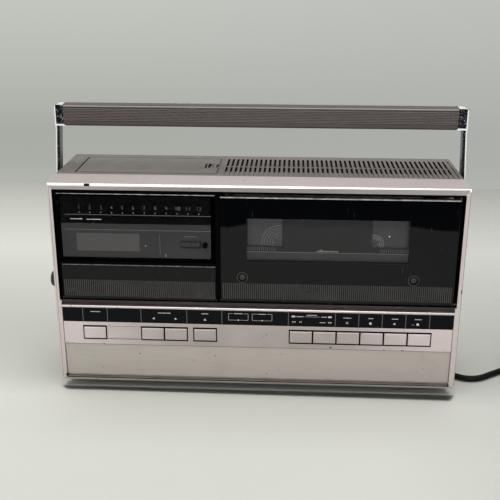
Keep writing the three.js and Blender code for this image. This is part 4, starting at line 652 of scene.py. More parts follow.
class Finish(Shading):
    """A material whose patterns read the piece's own Object coordinates."""

    def __init__(self, name, roughness=0.5, metallic=0.0, **sockets):
        self.material = bpy.data.materials.new(name)
        self.material.use_nodes = True
        super().__init__(self.material.node_tree)
        self.shader = self.nodes["Principled BSDF"]
        self.shader.inputs["Roughness"].default_value = roughness
        self.shader.inputs["Metallic"].default_value = metallic
        for socket, value in sockets.items():
            self.shader.inputs[socket.replace("_", " ")].default_value = value
        self.place = self.nodes.new("ShaderNodeTexCoord").outputs["Object"]

    def stretched(self, scale):
        """Object coordinates scaled differently along each axis."""
        made = self.node("ShaderNodeMapping", {"Vector": self.place, "Scale": scale})
        return made.outputs["Vector"]

    def noise(self, scale, detail=3.0, rough=0.55, place=None):
        made = self.node("ShaderNodeTexNoise", {
            "Vector": place or self.place, "Scale": scale, "Detail": detail, "Roughness": rough,
        })
        return made.outputs["Fac"]

    def cells(self, scale, place=None):
        """Distance to the nearest of randomly strewn points."""
        made = self.node("ShaderNodeTexVoronoi", {"Vector": place or self.place, "Scale": scale})
        return made.outputs["Distance"]

    def axis(self, name):
        made = self.node("ShaderNodeSeparateXYZ", {"Vector": self.place})
        return made.outputs[name]

    def stained(self, base, tone, noise, low, high, most):
        """The base with up to a share of the tone over it, where a noise is high."""
        return self.mix(self.remap(self.noise(*noise), low, high, 0, most), base, tone)

    def colour(self, value):
        self.put(value, self.shader.inputs["Base Color"])
        return self

    def roughness(self, value):
        self.put(value, self.shader.inputs["Roughness"])
        return self

    def bump(self, height, strength, distance):
        made = self.node("ShaderNodeBump", {
            "Height": height, "Strength": strength, "Distance": distance,
        })
        self.put(made.outputs["Normal"], self.shader.inputs["Normal"])
        return self

    def specks(self, scale, size, mask_scale=9.0, mask_low=0.5):
        """1 on small strewn specks, thinner where a broad noise is low."""
        spots = self.remap(self.cells(scale), size, size * 0.6)
        area = self.remap(self.noise(mask_scale, 2), mask_low, mask_low + 0.08)
        return self.maths("MULTIPLY", spots, area)


def darker(base, share):
    return tuple(value * share for value in base)


def lighter(base, share):
    return tuple(value + (1 - value) * share for value in base)


finishes = {}


def finish(name):
    """The finish of that name, made once."""
    if name not in finishes:
        finishes[name] = FINISHES[name]().material
    return finishes[name]


def mottled(name, light, dark, noise, roughness, metallic=0.0, **sockets):
    """Plain material in two tones that a noise mixes."""
    made = Finish(name, roughness, metallic, **sockets)
    return made.colour(made.mix(made.noise(*noise), srgb(*light), srgb(*dark)))


def champagne():
    """Pinkish satin metal, greyer towards the middle of its width in a broad uneven band, with dark
    nicks and fine specks.
    """
    tones = colours()
    made = Finish("champagne_metal", 0.42, 0.25)
    broad = made.noise(14, 4)
    grey = made.remap(made.maths("ABSOLUTE", made.axis("X")), 0.19, 0.05)
    # Greyer towards the middle of the width, unevenly.
    worn = made.maths("MULTIPLY", grey, made.remap(broad, 0.3, 0.75, 0.55, 1))
    base = made.mix(worn, tones.champagne, tones.champagne_middle)
    grain = made.noise(1500, 2)
    base = made.mix(made.remap(grain, 0.35, 0.65, 0, 0.10), base, lighter(tones.champagne, 0.6))
    base = made.stained(base, srgb(120, 106, 100), (90, 3), 0.55, 0.8, 0.14)
    nicks = made.specks(120, 0.085, 30, 0.52)
    made.colour(made.mix(nicks, base, srgb(52, 44, 42)))
    made.roughness(made.remap(broad, 0.3, 0.7, 0.36, 0.5))
    return made.bump(made.maths("SUBTRACT", grain, nicks), 0.12, 0.00008)


def satin_metal(name, ends, middle, grain_scale=1500):
    """Satin metal whose tone changes from the ends of a long face to its middle."""
    made = Finish(name, 0.45, 0.1)
    near = made.remap(made.maths("ABSOLUTE", made.axis("X")), 0.175, 0.07)
    wavy = made.remap(made.noise(18, 4), 0.3, 0.7, -0.2, 0.2)
    share = made.maths("ADD", near, wavy)
    base = made.mix(made.remap(share, 0, 1), srgb(*ends), srgb(*middle))
    grain = made.noise(grain_scale, 2)
    base = made.mix(made.remap(grain, 0.35, 0.65, 0, 0.1), base, srgb(236, 228, 226))
    base = made.stained(base, srgb(130, 116, 110), (90, 3), 0.55, 0.8, 0.12)
    nicks = made.specks(120, 0.085, 30, 0.53)
    made.colour(made.mix(nicks, base, srgb(58, 48, 46)))
    return made.bump(made.maths("SUBTRACT", grain, nicks), 0.1, 0.00007)


# The frame's upward slope takes a darker copy of its metal: painted shade.
def slope_painted_shade():
    return satin_metal("slope_painted_shade", (154, 144, 143), (160, 149, 147), 1100)


def panel_metal():
    return satin_metal("panel_metal", (204, 191, 190), (157, 148, 144))


def foot_metal():
    """Shaded metal along the foot of the frame."""
    made = Finish("foot_metal", 0.5, 0.1)
    streak = made.remap(made.noise(1, 4, 0.65, place=made.stretched((34, 300, 300))), 0.35, 0.65)
    return made.colour(made.mix(streak, srgb(112, 103, 98), srgb(150, 139, 134)))


def painted_highlight_metal():
    """Near-white painted highlight, broken by a noise, for the outer edges and block tops of the arms
    and the glint on the door window.
    """
    made = Finish("painted_highlight_metal", 0.3, 0.1)
    broken = made.remap(made.noise(150, 4, 0.7), 0.66, 0.76)
    return made.colour(made.mix(broken, srgb(244, 244, 244), srgb(120, 120, 122)))


def side_chrome():
    """Smooth grey inner side of the arms, drawn along their length, with a painted reflection from
    dark at the front to light at the back.
    """
    made = Finish("side_chrome", 0.32, 0.7)
    drawn = made.noise(1, 3, place=made.stretched((900, 900, 14)))
    base = made.mix(made.remap(made.axis("Y"), -0.006, 0.007), srgb(96, 97, 102), srgb(168, 171, 174))
    base = made.mix(made.remap(drawn, 0.35, 0.65, 0, 0.4), base, srgb(92, 92, 96))
    return made.colour(base)


def painted_shade_metal():
    """Dark mottled champagne, painted shade for the narrow steps of the channel, the outer side
    bevels and thin dark lines.
    """
    return mottled("painted_shade_metal", (78, 66, 62), (112, 98, 92), (90, 4), 0.6, 0.1)


def edge_highlight_metal():
    """Polished edge painted near-white for its highlight, with small dull breaks."""
    made = Finish("bright_edge", 0.28, 0.3)
    tone = colours().bright
    breaks = made.remap(made.noise(120, 3), 0.68, 0.76)
    made.colour(made.mix(breaks, tone, srgb(128, 118, 112)))
    return made.roughness(made.remap(made.noise(80, 3), 0.3, 0.7, 0.2, 0.36))


def lower_metal():
    """Plain satin panel, brushed along its length, with faint dark scuffs and painted shade along its
    ragged foot.
    """
    tone = colours().lower_panel
    made = Finish("lower_panel_metal", 0.45, 0.2)
    brushed = made.noise(1, 3, place=made.stretched((26, 900, 1700)))
    base = made.mix(made.remap(brushed, 0.35, 0.65, 0, 0.12), tone, lighter(tone, 0.5))
    base = made.stained(base, srgb(182, 170, 166), (7, 3), 0.42, 0.62, 0.4)
    base = made.stained(base, srgb(138, 128, 119), (38, 5, 0.7), 0.56, 0.75, 0.22)
    # Painted shade: darker along the panel's ragged foot, where it meets the frame.
    ragged = made.maths("MULTIPLY", made.remap(made.noise(60, 4), 0.3, 0.7), 0.0009)
    foot = made.remap(made.maths("SUBTRACT", made.axis("Z"), ragged), 0.0132, 0.0125)
    base = made.mix(made.maths("MULTIPLY", foot, 0.8), base, srgb(118, 108, 103))
    nicks = made.specks(90, 0.07, 24, 0.54)
    made.colour(made.mix(nicks, base, srgb(62, 54, 50)))
    made.roughness(made.remap(brushed, 0.3, 0.7, 0.38, 0.52))
    return made.bump(brushed, 0.08, 0.00005)


def cover_paint(name="cover_paint", tone=None, mottle=0.2):
    """Warm grey stoved paint with a fine grain and a few pale rubs."""
    tone = tone or colours().cover
    made = Finish(name, 0.5)
    grain = made.noise(1900, 2)
    base = made.stained(tone, srgb(150, 136, 132), (22, 4), 0.4, 0.7, mottle)
    base = made.mix(made.remap(grain, 0.4, 0.65, 0, 0.14), base, darker(tone, 0.72))
    rubs = made.remap(made.noise(1, 4, place=made.stretched((60, 14, 60))), 0.62, 0.76, 0, 0.25)
    made.colour(made.mix(rubs, base, lighter(tone, 0.35)))
    made.roughness(made.remap(made.noise(60, 3), 0.3, 0.7, 0.42, 0.58))
    return made.bump(grain, 0.3, 0.00012)


def lid_paint():
    return cover_paint("lid_paint", colours().lid, 0.08)


def trim_metal():
    """Bright drawn moulding, finely brushed along its length, with painted shade at its top and at
    its foot.
    """
    made = Finish("bright_trim", 0.36, 0.4)
    tone = srgb(218, 208, 205)
    brushed = made.noise(1, 3, place=made.stretched((12, 2600, 2600)))
    base = made.mix(made.remap(brushed, 0.35, 0.65, 0, 0.3), tone, darker(tone, 0.72))
    # Painted shade: the top of the bead turns dark brown where it meets the brown band.
    painted_top_shade = made.remap(made.axis("Z"), 0.0915, 0.0922)
    base = made.mix(painted_top_shade, base, srgb(27, 17, 15))
    # Painted shade: the foot of the bead is darker.
    foot = made.remap(made.axis("Z"), 0.0896, 0.0886)
    base = made.mix(foot, base, srgb(104, 94, 90))
    made.colour(made.stained(base, darker(tone, 0.4), (40, 4), 0.6, 0.78, 0.3))
    made.roughness(made.remap(made.noise(60, 3), 0.3, 0.7, 0.24, 0.4))
    return made.bump(brushed, 0.06, 0.00004)


# The brown band is painted shade of the recess under the doors, with a paler noise over it.
def brown_band_painted_shade():
    made = Finish("brown_band_painted_shade", 0.5, Specular_IOR_Level=0.25)
    tone = colours().brown
    worn = made.remap(made.noise(1, 5, place=made.stretched((60, 300, 500))), 0.55, 0.72)
    return made.colour(made.mix(worn, tone, srgb(66, 52, 48)))


def gloss_black(name="gloss_black", tone=None, sheen=0.03, dust=0.3, shine=0.23):
    """Gloss black plastic with dust specks and hairline scratches."""
    tone = tone or colours().black
    made = Finish(name, sheen, Specular_IOR_Level=shine)
    hair = made.noise(1, 2, place=made.stretched((900, 40, 60)))
    scratch = made.remap(hair, 0.715, 0.735, 0, 0.22)
    specks = made.specks(330, 0.05, 40, 0.56)
    base = made.mix(scratch, tone, srgb(120, 120, 118))
    made.colour(made.mix(made.maths("MULTIPLY", specks, dust), base, srgb(170, 170, 165)))
    smudge = made.remap(made.noise(16, 4), 0.45, 0.8, sheen, sheen + 0.05)
    made.roughness(made.maths("ADD", smudge, made.maths("MULTIPLY", specks, 0.5)))
    return made


def edge_highlight_black(name="painted_edge_highlight", low=(104, 102, 102), high=(212, 209, 206)):
    """Pale line painted on the edge of the gloss black for its highlight, broken by a ragged noise.
    """
    made = Finish(name, 0.35)
    rub = made.noise(1, 6, 0.75, place=made.stretched((130, 400, 700)))
    made.colour(made.mix(made.remap(rub, 0.42, 0.6), srgb(*low), srgb(*high)))
    return made.roughness(made.remap(rub, 0.4, 0.6, 0.25, 0.5))


def rib_sheen_black():
    """Black ribs painted grey for their sheen, mottled and specked with dust."""
    made = Finish("ribs_painted_sheen", 0.35, Specular_IOR_Level=0.3)
    tone = colours().rib
    base = made.stained(tone, srgb(84, 82, 80), (55, 5, 0.7), 0.45, 0.7, 0.5)
    made.colour(made.mix(made.specks(260, 0.06, 30, 0.54), base, srgb(140, 138, 134)))
    return made.roughness(made.remap(made.noise(120, 3), 0.3, 0.7, 0.26, 0.42))


def matt_black():
    made = Finish("matt_black", 0.55)
    grain = made.noise(1400, 2)
    made.colour(made.mix(made.remap(grain, 0.4, 0.65), srgb(22, 22, 22), srgb(32, 32, 31)))
    return made.bump(grain, 0.3, 0.0001)


def painted_shade_black():
    """Near-black painted shade for the deep parts, gaps and holes, nearly without shine."""
    return mottled("painted_shade_black", (2, 2, 2), (6, 6, 6), (300, 3), 0.7, Specular_IOR_Level=0.02)


def slot_black():
    """Shade inside the slots, with a little of the paint's colour."""
    return mottled("slot_black", (10, 9, 9), (24, 22, 21), (400, 3), 0.8, Specular_IOR_Level=0.1)


def smoked(name="smoked_window", alpha=0.3, tone=(4, 4, 5), shine=0.3):
    """Smoked clear plastic, smooth, with a few dust specks and scratches."""
    made = Finish(name, 0.03, Alpha=alpha, Specular_IOR_Level=shine)
    hair = made.noise(1, 2, place=made.stretched((700, 40, 90)))
    base = made.mix(made.remap(hair, 0.72, 0.74, 0, 0.3), srgb(*tone), srgb(150, 150, 150))
    made.colour(made.mix(made.specks(300, 0.05, 36, 0.57), base, srgb(170, 170, 165)))
    return made.roughness(made.remap(made.noise(20, 4), 0.4, 0.75, 0.025, 0.06))


def clear_pane():
    made = Finish("cassette_pane", 0.12, Specular_IOR_Level=0.5)
    thick = made.remap(made.axis("X"), 0.02, 0.11, 0.27, 0.13)
    made.put(thick, made.shader.inputs["Alpha"])
    return made.colour(made.mix(made.noise(40, 3), srgb(178, 175, 180), srgb(192, 189, 194)))


def pitted_chrome():
    """Old chrome: dark with fine bright specks; the arms' edges take a painted highlight instead."""
    made = Finish("arm_chrome", 0.2, 1.0)
    pits = made.noise(620, 5, 0.7)
    patch = made.noise(70, 3)
    mask = made.remap(made.maths("ADD", pits, made.maths("MULTIPLY", patch, 0.45)), 0.68, 0.82)
    made.colour(made.mix(mask, srgb(196, 198, 200), srgb(84, 84, 88)))
    made.roughness(made.remap(mask, 0, 1, 0.14, 0.5))
    return made.bump(mask, 0.35, 0.0002)


def dark_chrome():
    """Front of the arms: dark chrome on which silver flecks stand out."""
    made = Finish("pitted_front", 0.3, 1.0)
    flecks = made.noise(520, 6, 0.8)
    mask = made.remap(flecks, 0.56, 0.64)
    made.colour(made.mix(mask, srgb(30, 30, 36), srgb(170, 172, 176)))
    made.roughness(made.remap(mask, 0, 1, 0.22, 0.45))
    return made.bump(mask, 0.4, 0.0002)


def bare_metal(name, tone, rough, across=(40, 900, 900), mottled=0.3):
    made = Finish(name, rough, 0.9)
    tone = srgb(*tone)
    brushed = made.noise(1, 3, place=made.stretched(across))
    base = made.mix(made.remap(brushed, 0.35, 0.65, 0, 0.35), tone, darker(tone, 0.6))
    made.colour(made.stained(base, darker(tone, 0.5), (50, 4), 0.5, 0.75, mottled))
    return made.roughness(made.remap(made.noise(90, 3), 0.3, 0.7, rough - 0.08, rough + 0.12))


def steel():
    return bare_metal("steel", (176, 176, 172), 0.38)


def aluminium():
    return bare_metal("aluminium", (200, 200, 198), 0.28, (900, 900, 900), 0.15)


# share makes a lighter copy of the plastic and shade a darker one, for the grip's painted light and
# shade.
def grip_plastic(name="grip_plastic", share=0.0, shade=1.0):
    """Mauve brown moulded plastic with pale scuffs along it."""
    made = Finish(name, 0.5)
    tone = darker(lighter(colours().grip, share), shade)
    grain = made.noise(900, 3)
    base = made.stained(tone, darker(tone, 0.78), (12, 4), 0.35, 0.7, 0.5)
    along = made.noise(1, 5, 0.7, place=made.stretched((28, 200, 420)))
    base = made.mix(made.remap(along, 0.6, 0.74, 0, 0.5), base, srgb(150, 134, 130))
    base = made.mix(made.specks(190, 0.07, 14, 0.54), base, srgb(38, 32, 31))
    made.colour(made.mix(made.remap(grain, 0.45, 0.7, 0, 0.12), base, darker(tone, 0.6)))
    made.roughness(made.remap(along, 0.3, 0.7, 0.42, 0.6))
    return made.bump(grain, 0.2, 0.0001)


def plastic(name, light, dark, rough=0.45):
    made = Finish(name, rough)
    made.colour(made.stained(srgb(*light), srgb(*dark), (120, 4), 0.35, 0.7, 1))
    return made.bump(made.noise(1200, 2), 0.15, 0.00008)


def white_plastic():
    return plastic("white_plastic", (214, 214, 208), (196, 196, 190))


def tape_pack():
    """Edge of the wound tape: fine rings."""
    return mottled("tape_pack", (40, 30, 26), (58, 44, 38), (900, 2), 0.35)


def board_base():
    """Green circuit board with pale traces."""
    made = Finish("board", 0.45)
    lines = made.node("ShaderNodeTexBrick", {
        "Vector": made.place, "Scale": 60.0, "Mortar Size": 0.02,
        "Color1": (*srgb(32, 92, 52), 1), "Color2": (*srgb(40, 104, 60), 1),
        "Mortar": (*srgb(150, 170, 120), 1),
    })
    return made.colour(made.mix(0.5, lines.outputs["Color"], srgb(36, 96, 54)))


def display_face():
    """Dull grey mask behind the display window."""
    return mottled("display_face", (150, 149, 151), (138, 137, 139), (60, 3), 0.6)


def clock_face():
    """Pale filter over the clock."""
    return mottled("clock_face", (206, 198, 200), (194, 187, 189), (80, 3), 0.35)


def rubber(name="rubber", tone=None):
    made = Finish(name, 0.6)
    tone = tone or colours().cord
    made.colour(made.stained(tone, lighter(tone, 0.03), (70, 4), 0.4, 0.7, 1))
    return made.bump(made.noise(1500, 2), 0.2, 0.0001)


def black_cord():
    """Smooth black sheath, slightly greyed by dust."""
    made = Finish("black_cord", 0.5, Specular_IOR_Level=0.1)
    tone = colours().cord
    made.colour(made.stained(tone, srgb(34, 33, 32), (45, 4), 0.5, 0.75, 0.4))
    return made.bump(made.noise(500, 2), 0.1, 0.0001)


def print_ink(name, tone):
    made = Finish(name, 0.5)
    return made.colour(made.stained(tone, darker(tone, 0.7), (500, 3), 0.4, 0.7, 1))


FINISHES = {
    "champagne": champagne, "dull": painted_shade_metal, "bright": edge_highlight_metal, "lower": lower_metal,
    "cover": cover_paint, "lid": lid_paint, "trim": trim_metal, "brown": brown_band_painted_shade,
    "gloss": gloss_black, "worn": edge_highlight_black, "rib": rib_sheen_black, "matt": matt_black,
    "pocket": painted_shade_black, "slot": slot_black, "smoked": smoked, "pane": clear_pane,
    "chrome": pitted_chrome, "dark_chrome": dark_chrome, "steel": steel, "aluminium": aluminium,
    "grip": grip_plastic, "white": white_plastic, "tape": tape_pack, "board": board_base,
    "face": display_face, "clock": clock_face, "rubber": rubber, "cord": black_cord,
    "slope": slope_painted_shade, "panel": panel_metal, "foot": foot_metal, "rim": painted_highlight_metal,
    "side": side_chrome,
    "flange": lambda: plastic("reel_flange", (122, 120, 122), (110, 108, 110), 0.35),
    "strip": lambda: plastic("cassette_strip", (118, 115, 117), (108, 106, 108), 0.4),
    "wheels": lambda: plastic("counter_wheels", (150, 149, 149), (132, 131, 131), 0.5),
    "dim_edge_highlight": lambda: edge_highlight_black("painted_dim_edge_highlight", (52, 51, 51), (128, 126, 124)),
    "print": lambda: print_ink("light_print", colours().printing),
    "dim": lambda: print_ink("dim_print", colours().dim_printing),
    "clear": lambda: print_ink("clear_print", srgb(132, 133, 131)),
    "ring": lambda: plastic("reel_rings", (236, 233, 238), (214, 211, 216), 0.35),
    "lit": lambda: satin_metal("lit_metal", (214, 202, 200), (186, 178, 174)),
    "bar": lambda: satin_metal("bar_metal", (156, 148, 148), (126, 121, 118)),
    "sill": lambda: satin_metal("sill_metal", (156, 151, 147), (138, 134, 127)),
    "grip_top": lambda: grip_plastic("grip_top", 0.36),
    "grip_upper": lambda: grip_plastic("grip_upper", 0.03),
    "comb": lambda: plastic("comb_bars", (168, 165, 168), (150, 148, 150), 0.4),
    "grip_low": lambda: grip_plastic("grip_low", 0.0, 0.72),
    "legend": lambda: gloss_black("legend_black", srgb(8, 10, 15), 0.25, 0.2, 0.08),
    "display_glass": lambda: smoked("display_glass", 0.38, (1, 1, 2), 0.04),
    "grip_dark": lambda: grip_plastic("grip_dark", 0.0, 0.3),
    "grip_rib": lambda: grip_plastic("grip_rib", 0.07),
    "cassette": lambda: plastic("cassette_black", (70, 70, 72), (60, 60, 62), 0.4),
}


# Operators


class Builder:
    """What every operator of this file shares."""

    bl_options = {"REGISTER", "UNDO"}

    def execute(self, context):
        self.build(context)
        return {"FINISHED"}


class RECORDER_OT_studio(Builder, bpy.types.Operator):
    """Camera, lights, floor and backdrop"""

    bl_idname = "recorder.studio"
    bl_label = "Studio"

    table_front, wall_depth, half_width, wall_top = -0.60, 0.75, 3.0, 2.5
    room = ((0.0, 0.012), (0.48, 0.02), (0.51, 0.5), (0.7, 0.62), (0.88, 0.95), (1.0, 1.0))
    # Tones of the table along its depth, with painted light and shade: lighter just in front of the
    # recorder, darker under and behind it, and darker again toward the backdrop.
    floor_tones_and_shadow = (
        (0.03, 215), (0.13, 216), (0.18, 222), (0.23, 204), (0.296, 194), (0.35, 192), (0.44, 200),
        (0.634, 217), (0.85, 192), (1.0, 170),
    )
    # Tones of the backdrop by height: painted light, darker low down and lighter higher up.
    backdrop_painted_light = (
        (0.0, 178), (0.12, 170), (0.27, 169), (0.41, 177), (0.55, 183), (0.68, 189), (0.85, 195),
    )

    def build(self, context):
        studio = context.scene.recorder_studio
        context.scene.view_settings.view_transform = "Standard"
        self.camera(studio)
        self.lights(studio)
        self.world(studio)
        self.floor()
        self.wall()
        self.flag()

    def camera(self, studio):
        data = bpy.data.cameras.new("camera")
        data.lens = studio.lens
        data.sensor_width = 36
        eye = bpy.data.objects.new("camera", data)
        bpy.context.scene.collection.objects.link(eye)
        yaw, pitch, roll = studio.camera_yaw, studio.camera_pitch, studio.camera_roll
        ahead = Vector((
            math.sin(yaw) * math.cos(pitch), math.cos(yaw) * math.cos(pitch), -math.sin(pitch),
        ))
        right = Vector((math.cos(yaw), -math.sin(yaw), 0))
        up = right.cross(ahead)
        across = math.cos(roll) * right + math.sin(roll) * up
        above = -math.sin(roll) * right + math.cos(roll) * up
        turn = Matrix((across, above, -ahead)).transposed().to_4x4()
        eye.matrix_world = Matrix.Translation(studio.camera_place) @ turn
        bpy.context.scene.camera = eye

    def lights(self, studio):
        """A soft light overhead, and a low one in front that leaves the floor alone."""
        for name, strength, spread, tilt in (
            ("soft_key", studio.key, 60, 0), ("front_fill", studio.fill, 20, 89),
        ):
            data = bpy.data.lights.new(name, "SUN")
            data.energy = strength
            data.angle = math.radians(spread)
            data.color = (1.0, 0.995, 0.985)
            lamp = bpy.data.objects.new(name, data)
            lamp.rotation_euler = (math.radians(tilt), 0, 0)
            bpy.context.scene.collection.objects.link(lamp)

    def world(self, studio):
        """Even light from all round; glossy surfaces see a pale room, and dark below the table."""
        world = bpy.data.worlds.new("room")
        world.use_nodes = True
        bpy.context.scene.world = world
        room = Shading(world.node_tree)
        ray = room.node("ShaderNodeLightPath").outputs
        way = room.node("ShaderNodeTexCoord").outputs["Generated"]
        height = room.node("ShaderNodeSeparateXYZ", {"Vector": way}).outputs["Z"]
        stops = [(place, (value, value, value * 0.985)) for place, value in self.room]
        level = room.ramp(room.remap(height, -1, 1), stops, "EASE")
        mirrored = room.maths("ADD", ray["Is Glossy Ray"], ray["Is Transmission Ray"])
        light = studio.ambient
        lit = room.mix(mirrored, (light, light * 1.005, light * 0.995), level)
        seen = room.mix(ray["Is Camera Ray"], lit, srgb(205, 207, 201))
        room.put(seen, room.nodes["Background"].inputs["Color"])

    def sheet(self, name, corners, paper, *unseen_by):
        """Flat sheet of paper or cloth, left out of the kinds of ray that are named."""
        mesh = bpy.data.meshes.new(name)
        mesh.from_pydata(corners, [], [(0, 1, 2, 3)])
        piece = add_piece(name, mesh)
        piece.data.materials.append(paper.material)
        for kind in unseen_by:
            setattr(piece, "visible_" + kind, False)

    def floor(self):
        """Pale table top that ends in front of the recorder, so that its gloss shows the edge; its
        colour holds painted light and shade.
        """
        near, far, wide = self.table_front, self.wall_depth, self.half_width
        top = Finish("floor_paper", 0.85)
        stops = [(place, srgb(grey, grey + 1, grey - 6)) for place, grey in self.floor_tones_and_shadow]
        shade = top.ramp(top.remap(top.axis("Y"), -0.25, 0.75), stops)
        tone = top.stained(shade, srgb(190, 192, 184), (30, 4), 0.3, 0.7, 0.04)
        # Painted shade: the table is darker to the recorder's right.
        side = top.remap(top.axis("X"), 0.12, 0.27, 0, 0.16)
        top.colour(top.mix(side, tone, srgb(98, 101, 98)))
        corners = [(-wide, near, 0), (wide, near, 0), (wide, far, 0), (-wide, far, 0)]
        self.sheet("floor", corners, top)

    def flag(self):
        """Strip held close over the table, out of sight, that lengthens the shadow in front."""
        back, height = -HALF_DEPTH * MM, 0.003
        cloth = mottled("flag_cloth", (18, 18, 18), (26, 26, 26), (300, 2), 0.9)
        corners = [
            (-0.203, back, height), (0.203, back, height), (0.197, back - 0.0115, height),
            (-0.195, back - 0.008, height),
        ]
        self.sheet("shadow_flag", corners, cloth, "camera", "glossy")

    def wall(self):
        """Backdrop in its own soft shades, giving no light, and clear when seen from behind. It
        glows, and its shades paint the fall of light on a wall, drawn toward one grey on the right.
        """
        back, wide, top = self.wall_depth, self.half_width, self.wall_top
        paper = Finish("backdrop_paper", 0.9)
        stops = [(place, srgb(grey, grey + 2, grey - 4)) for place, grey in self.backdrop_painted_light]
        shade = paper.ramp(paper.remap(paper.axis("Z"), 0, 0.4), stops)
        side = paper.remap(paper.axis("X"), -0.3, 0.42, 0, 0.35)
        tone = paper.mix(side, shade, srgb(176, 180, 175))
        glow = paper.node("ShaderNodeEmission", {"Color": tone, "Strength": 1.0})
        clear = paper.node("ShaderNodeBsdfTransparent")
        behind = paper.node("ShaderNodeNewGeometry").outputs["Backfacing"]
        both = paper.node("ShaderNodeMixShader")
        for source, target in zip((behind, glow.outputs[0], clear.outputs[0]), both.inputs):
            paper.links.new(source, target)
        paper.links.new(both.outputs[0], paper.nodes["Material Output"].inputs["Surface"])
        corners = [(-wide, back, 0), (wide, back, 0), (wide, back, top), (-wide, back, top)]
        self.sheet("backdrop", corners, paper, "diffuse", "shadow")


CORD_ROUTE = (
    (156, 107.8, 22), (156, 110.8, 22), (156, 113.8, 22), (157.9, 123.4, 21.6),
    (163.3, 131.5, 20.3), (171.4, 136.9, 18.5), (181, 138.8, 16.3), (190.6, 136.9, 13.8),
    (198.7, 131.5, 11.2), (204.1, 123.4, 8.7), (206, 113.8, 6.5), (206, 102, 4.5),
    (205.6, 92, 3.5), (204.7, 82, 3.3), (203.2, 72, 3.3), (201.9, 63, 3.3), (201.2, 55.8, 3.3),
    (202.8, 47.2, 3.3), (207.3, 39.8, 3.3), (214.1, 34.4, 3.3), (222.5, 31.8, 3.3),
    (231.2, 32.3, 3.3), (239.1, 35.9, 3.3), (249.5, 43.2, 3.3), (261.3, 51.2, 3.3),
    (265.2, 54.3, 3.3), (268.6, 58, 3.3), (271.4, 62.2, 3.3), (272.9, 64.8, 3.3),
)


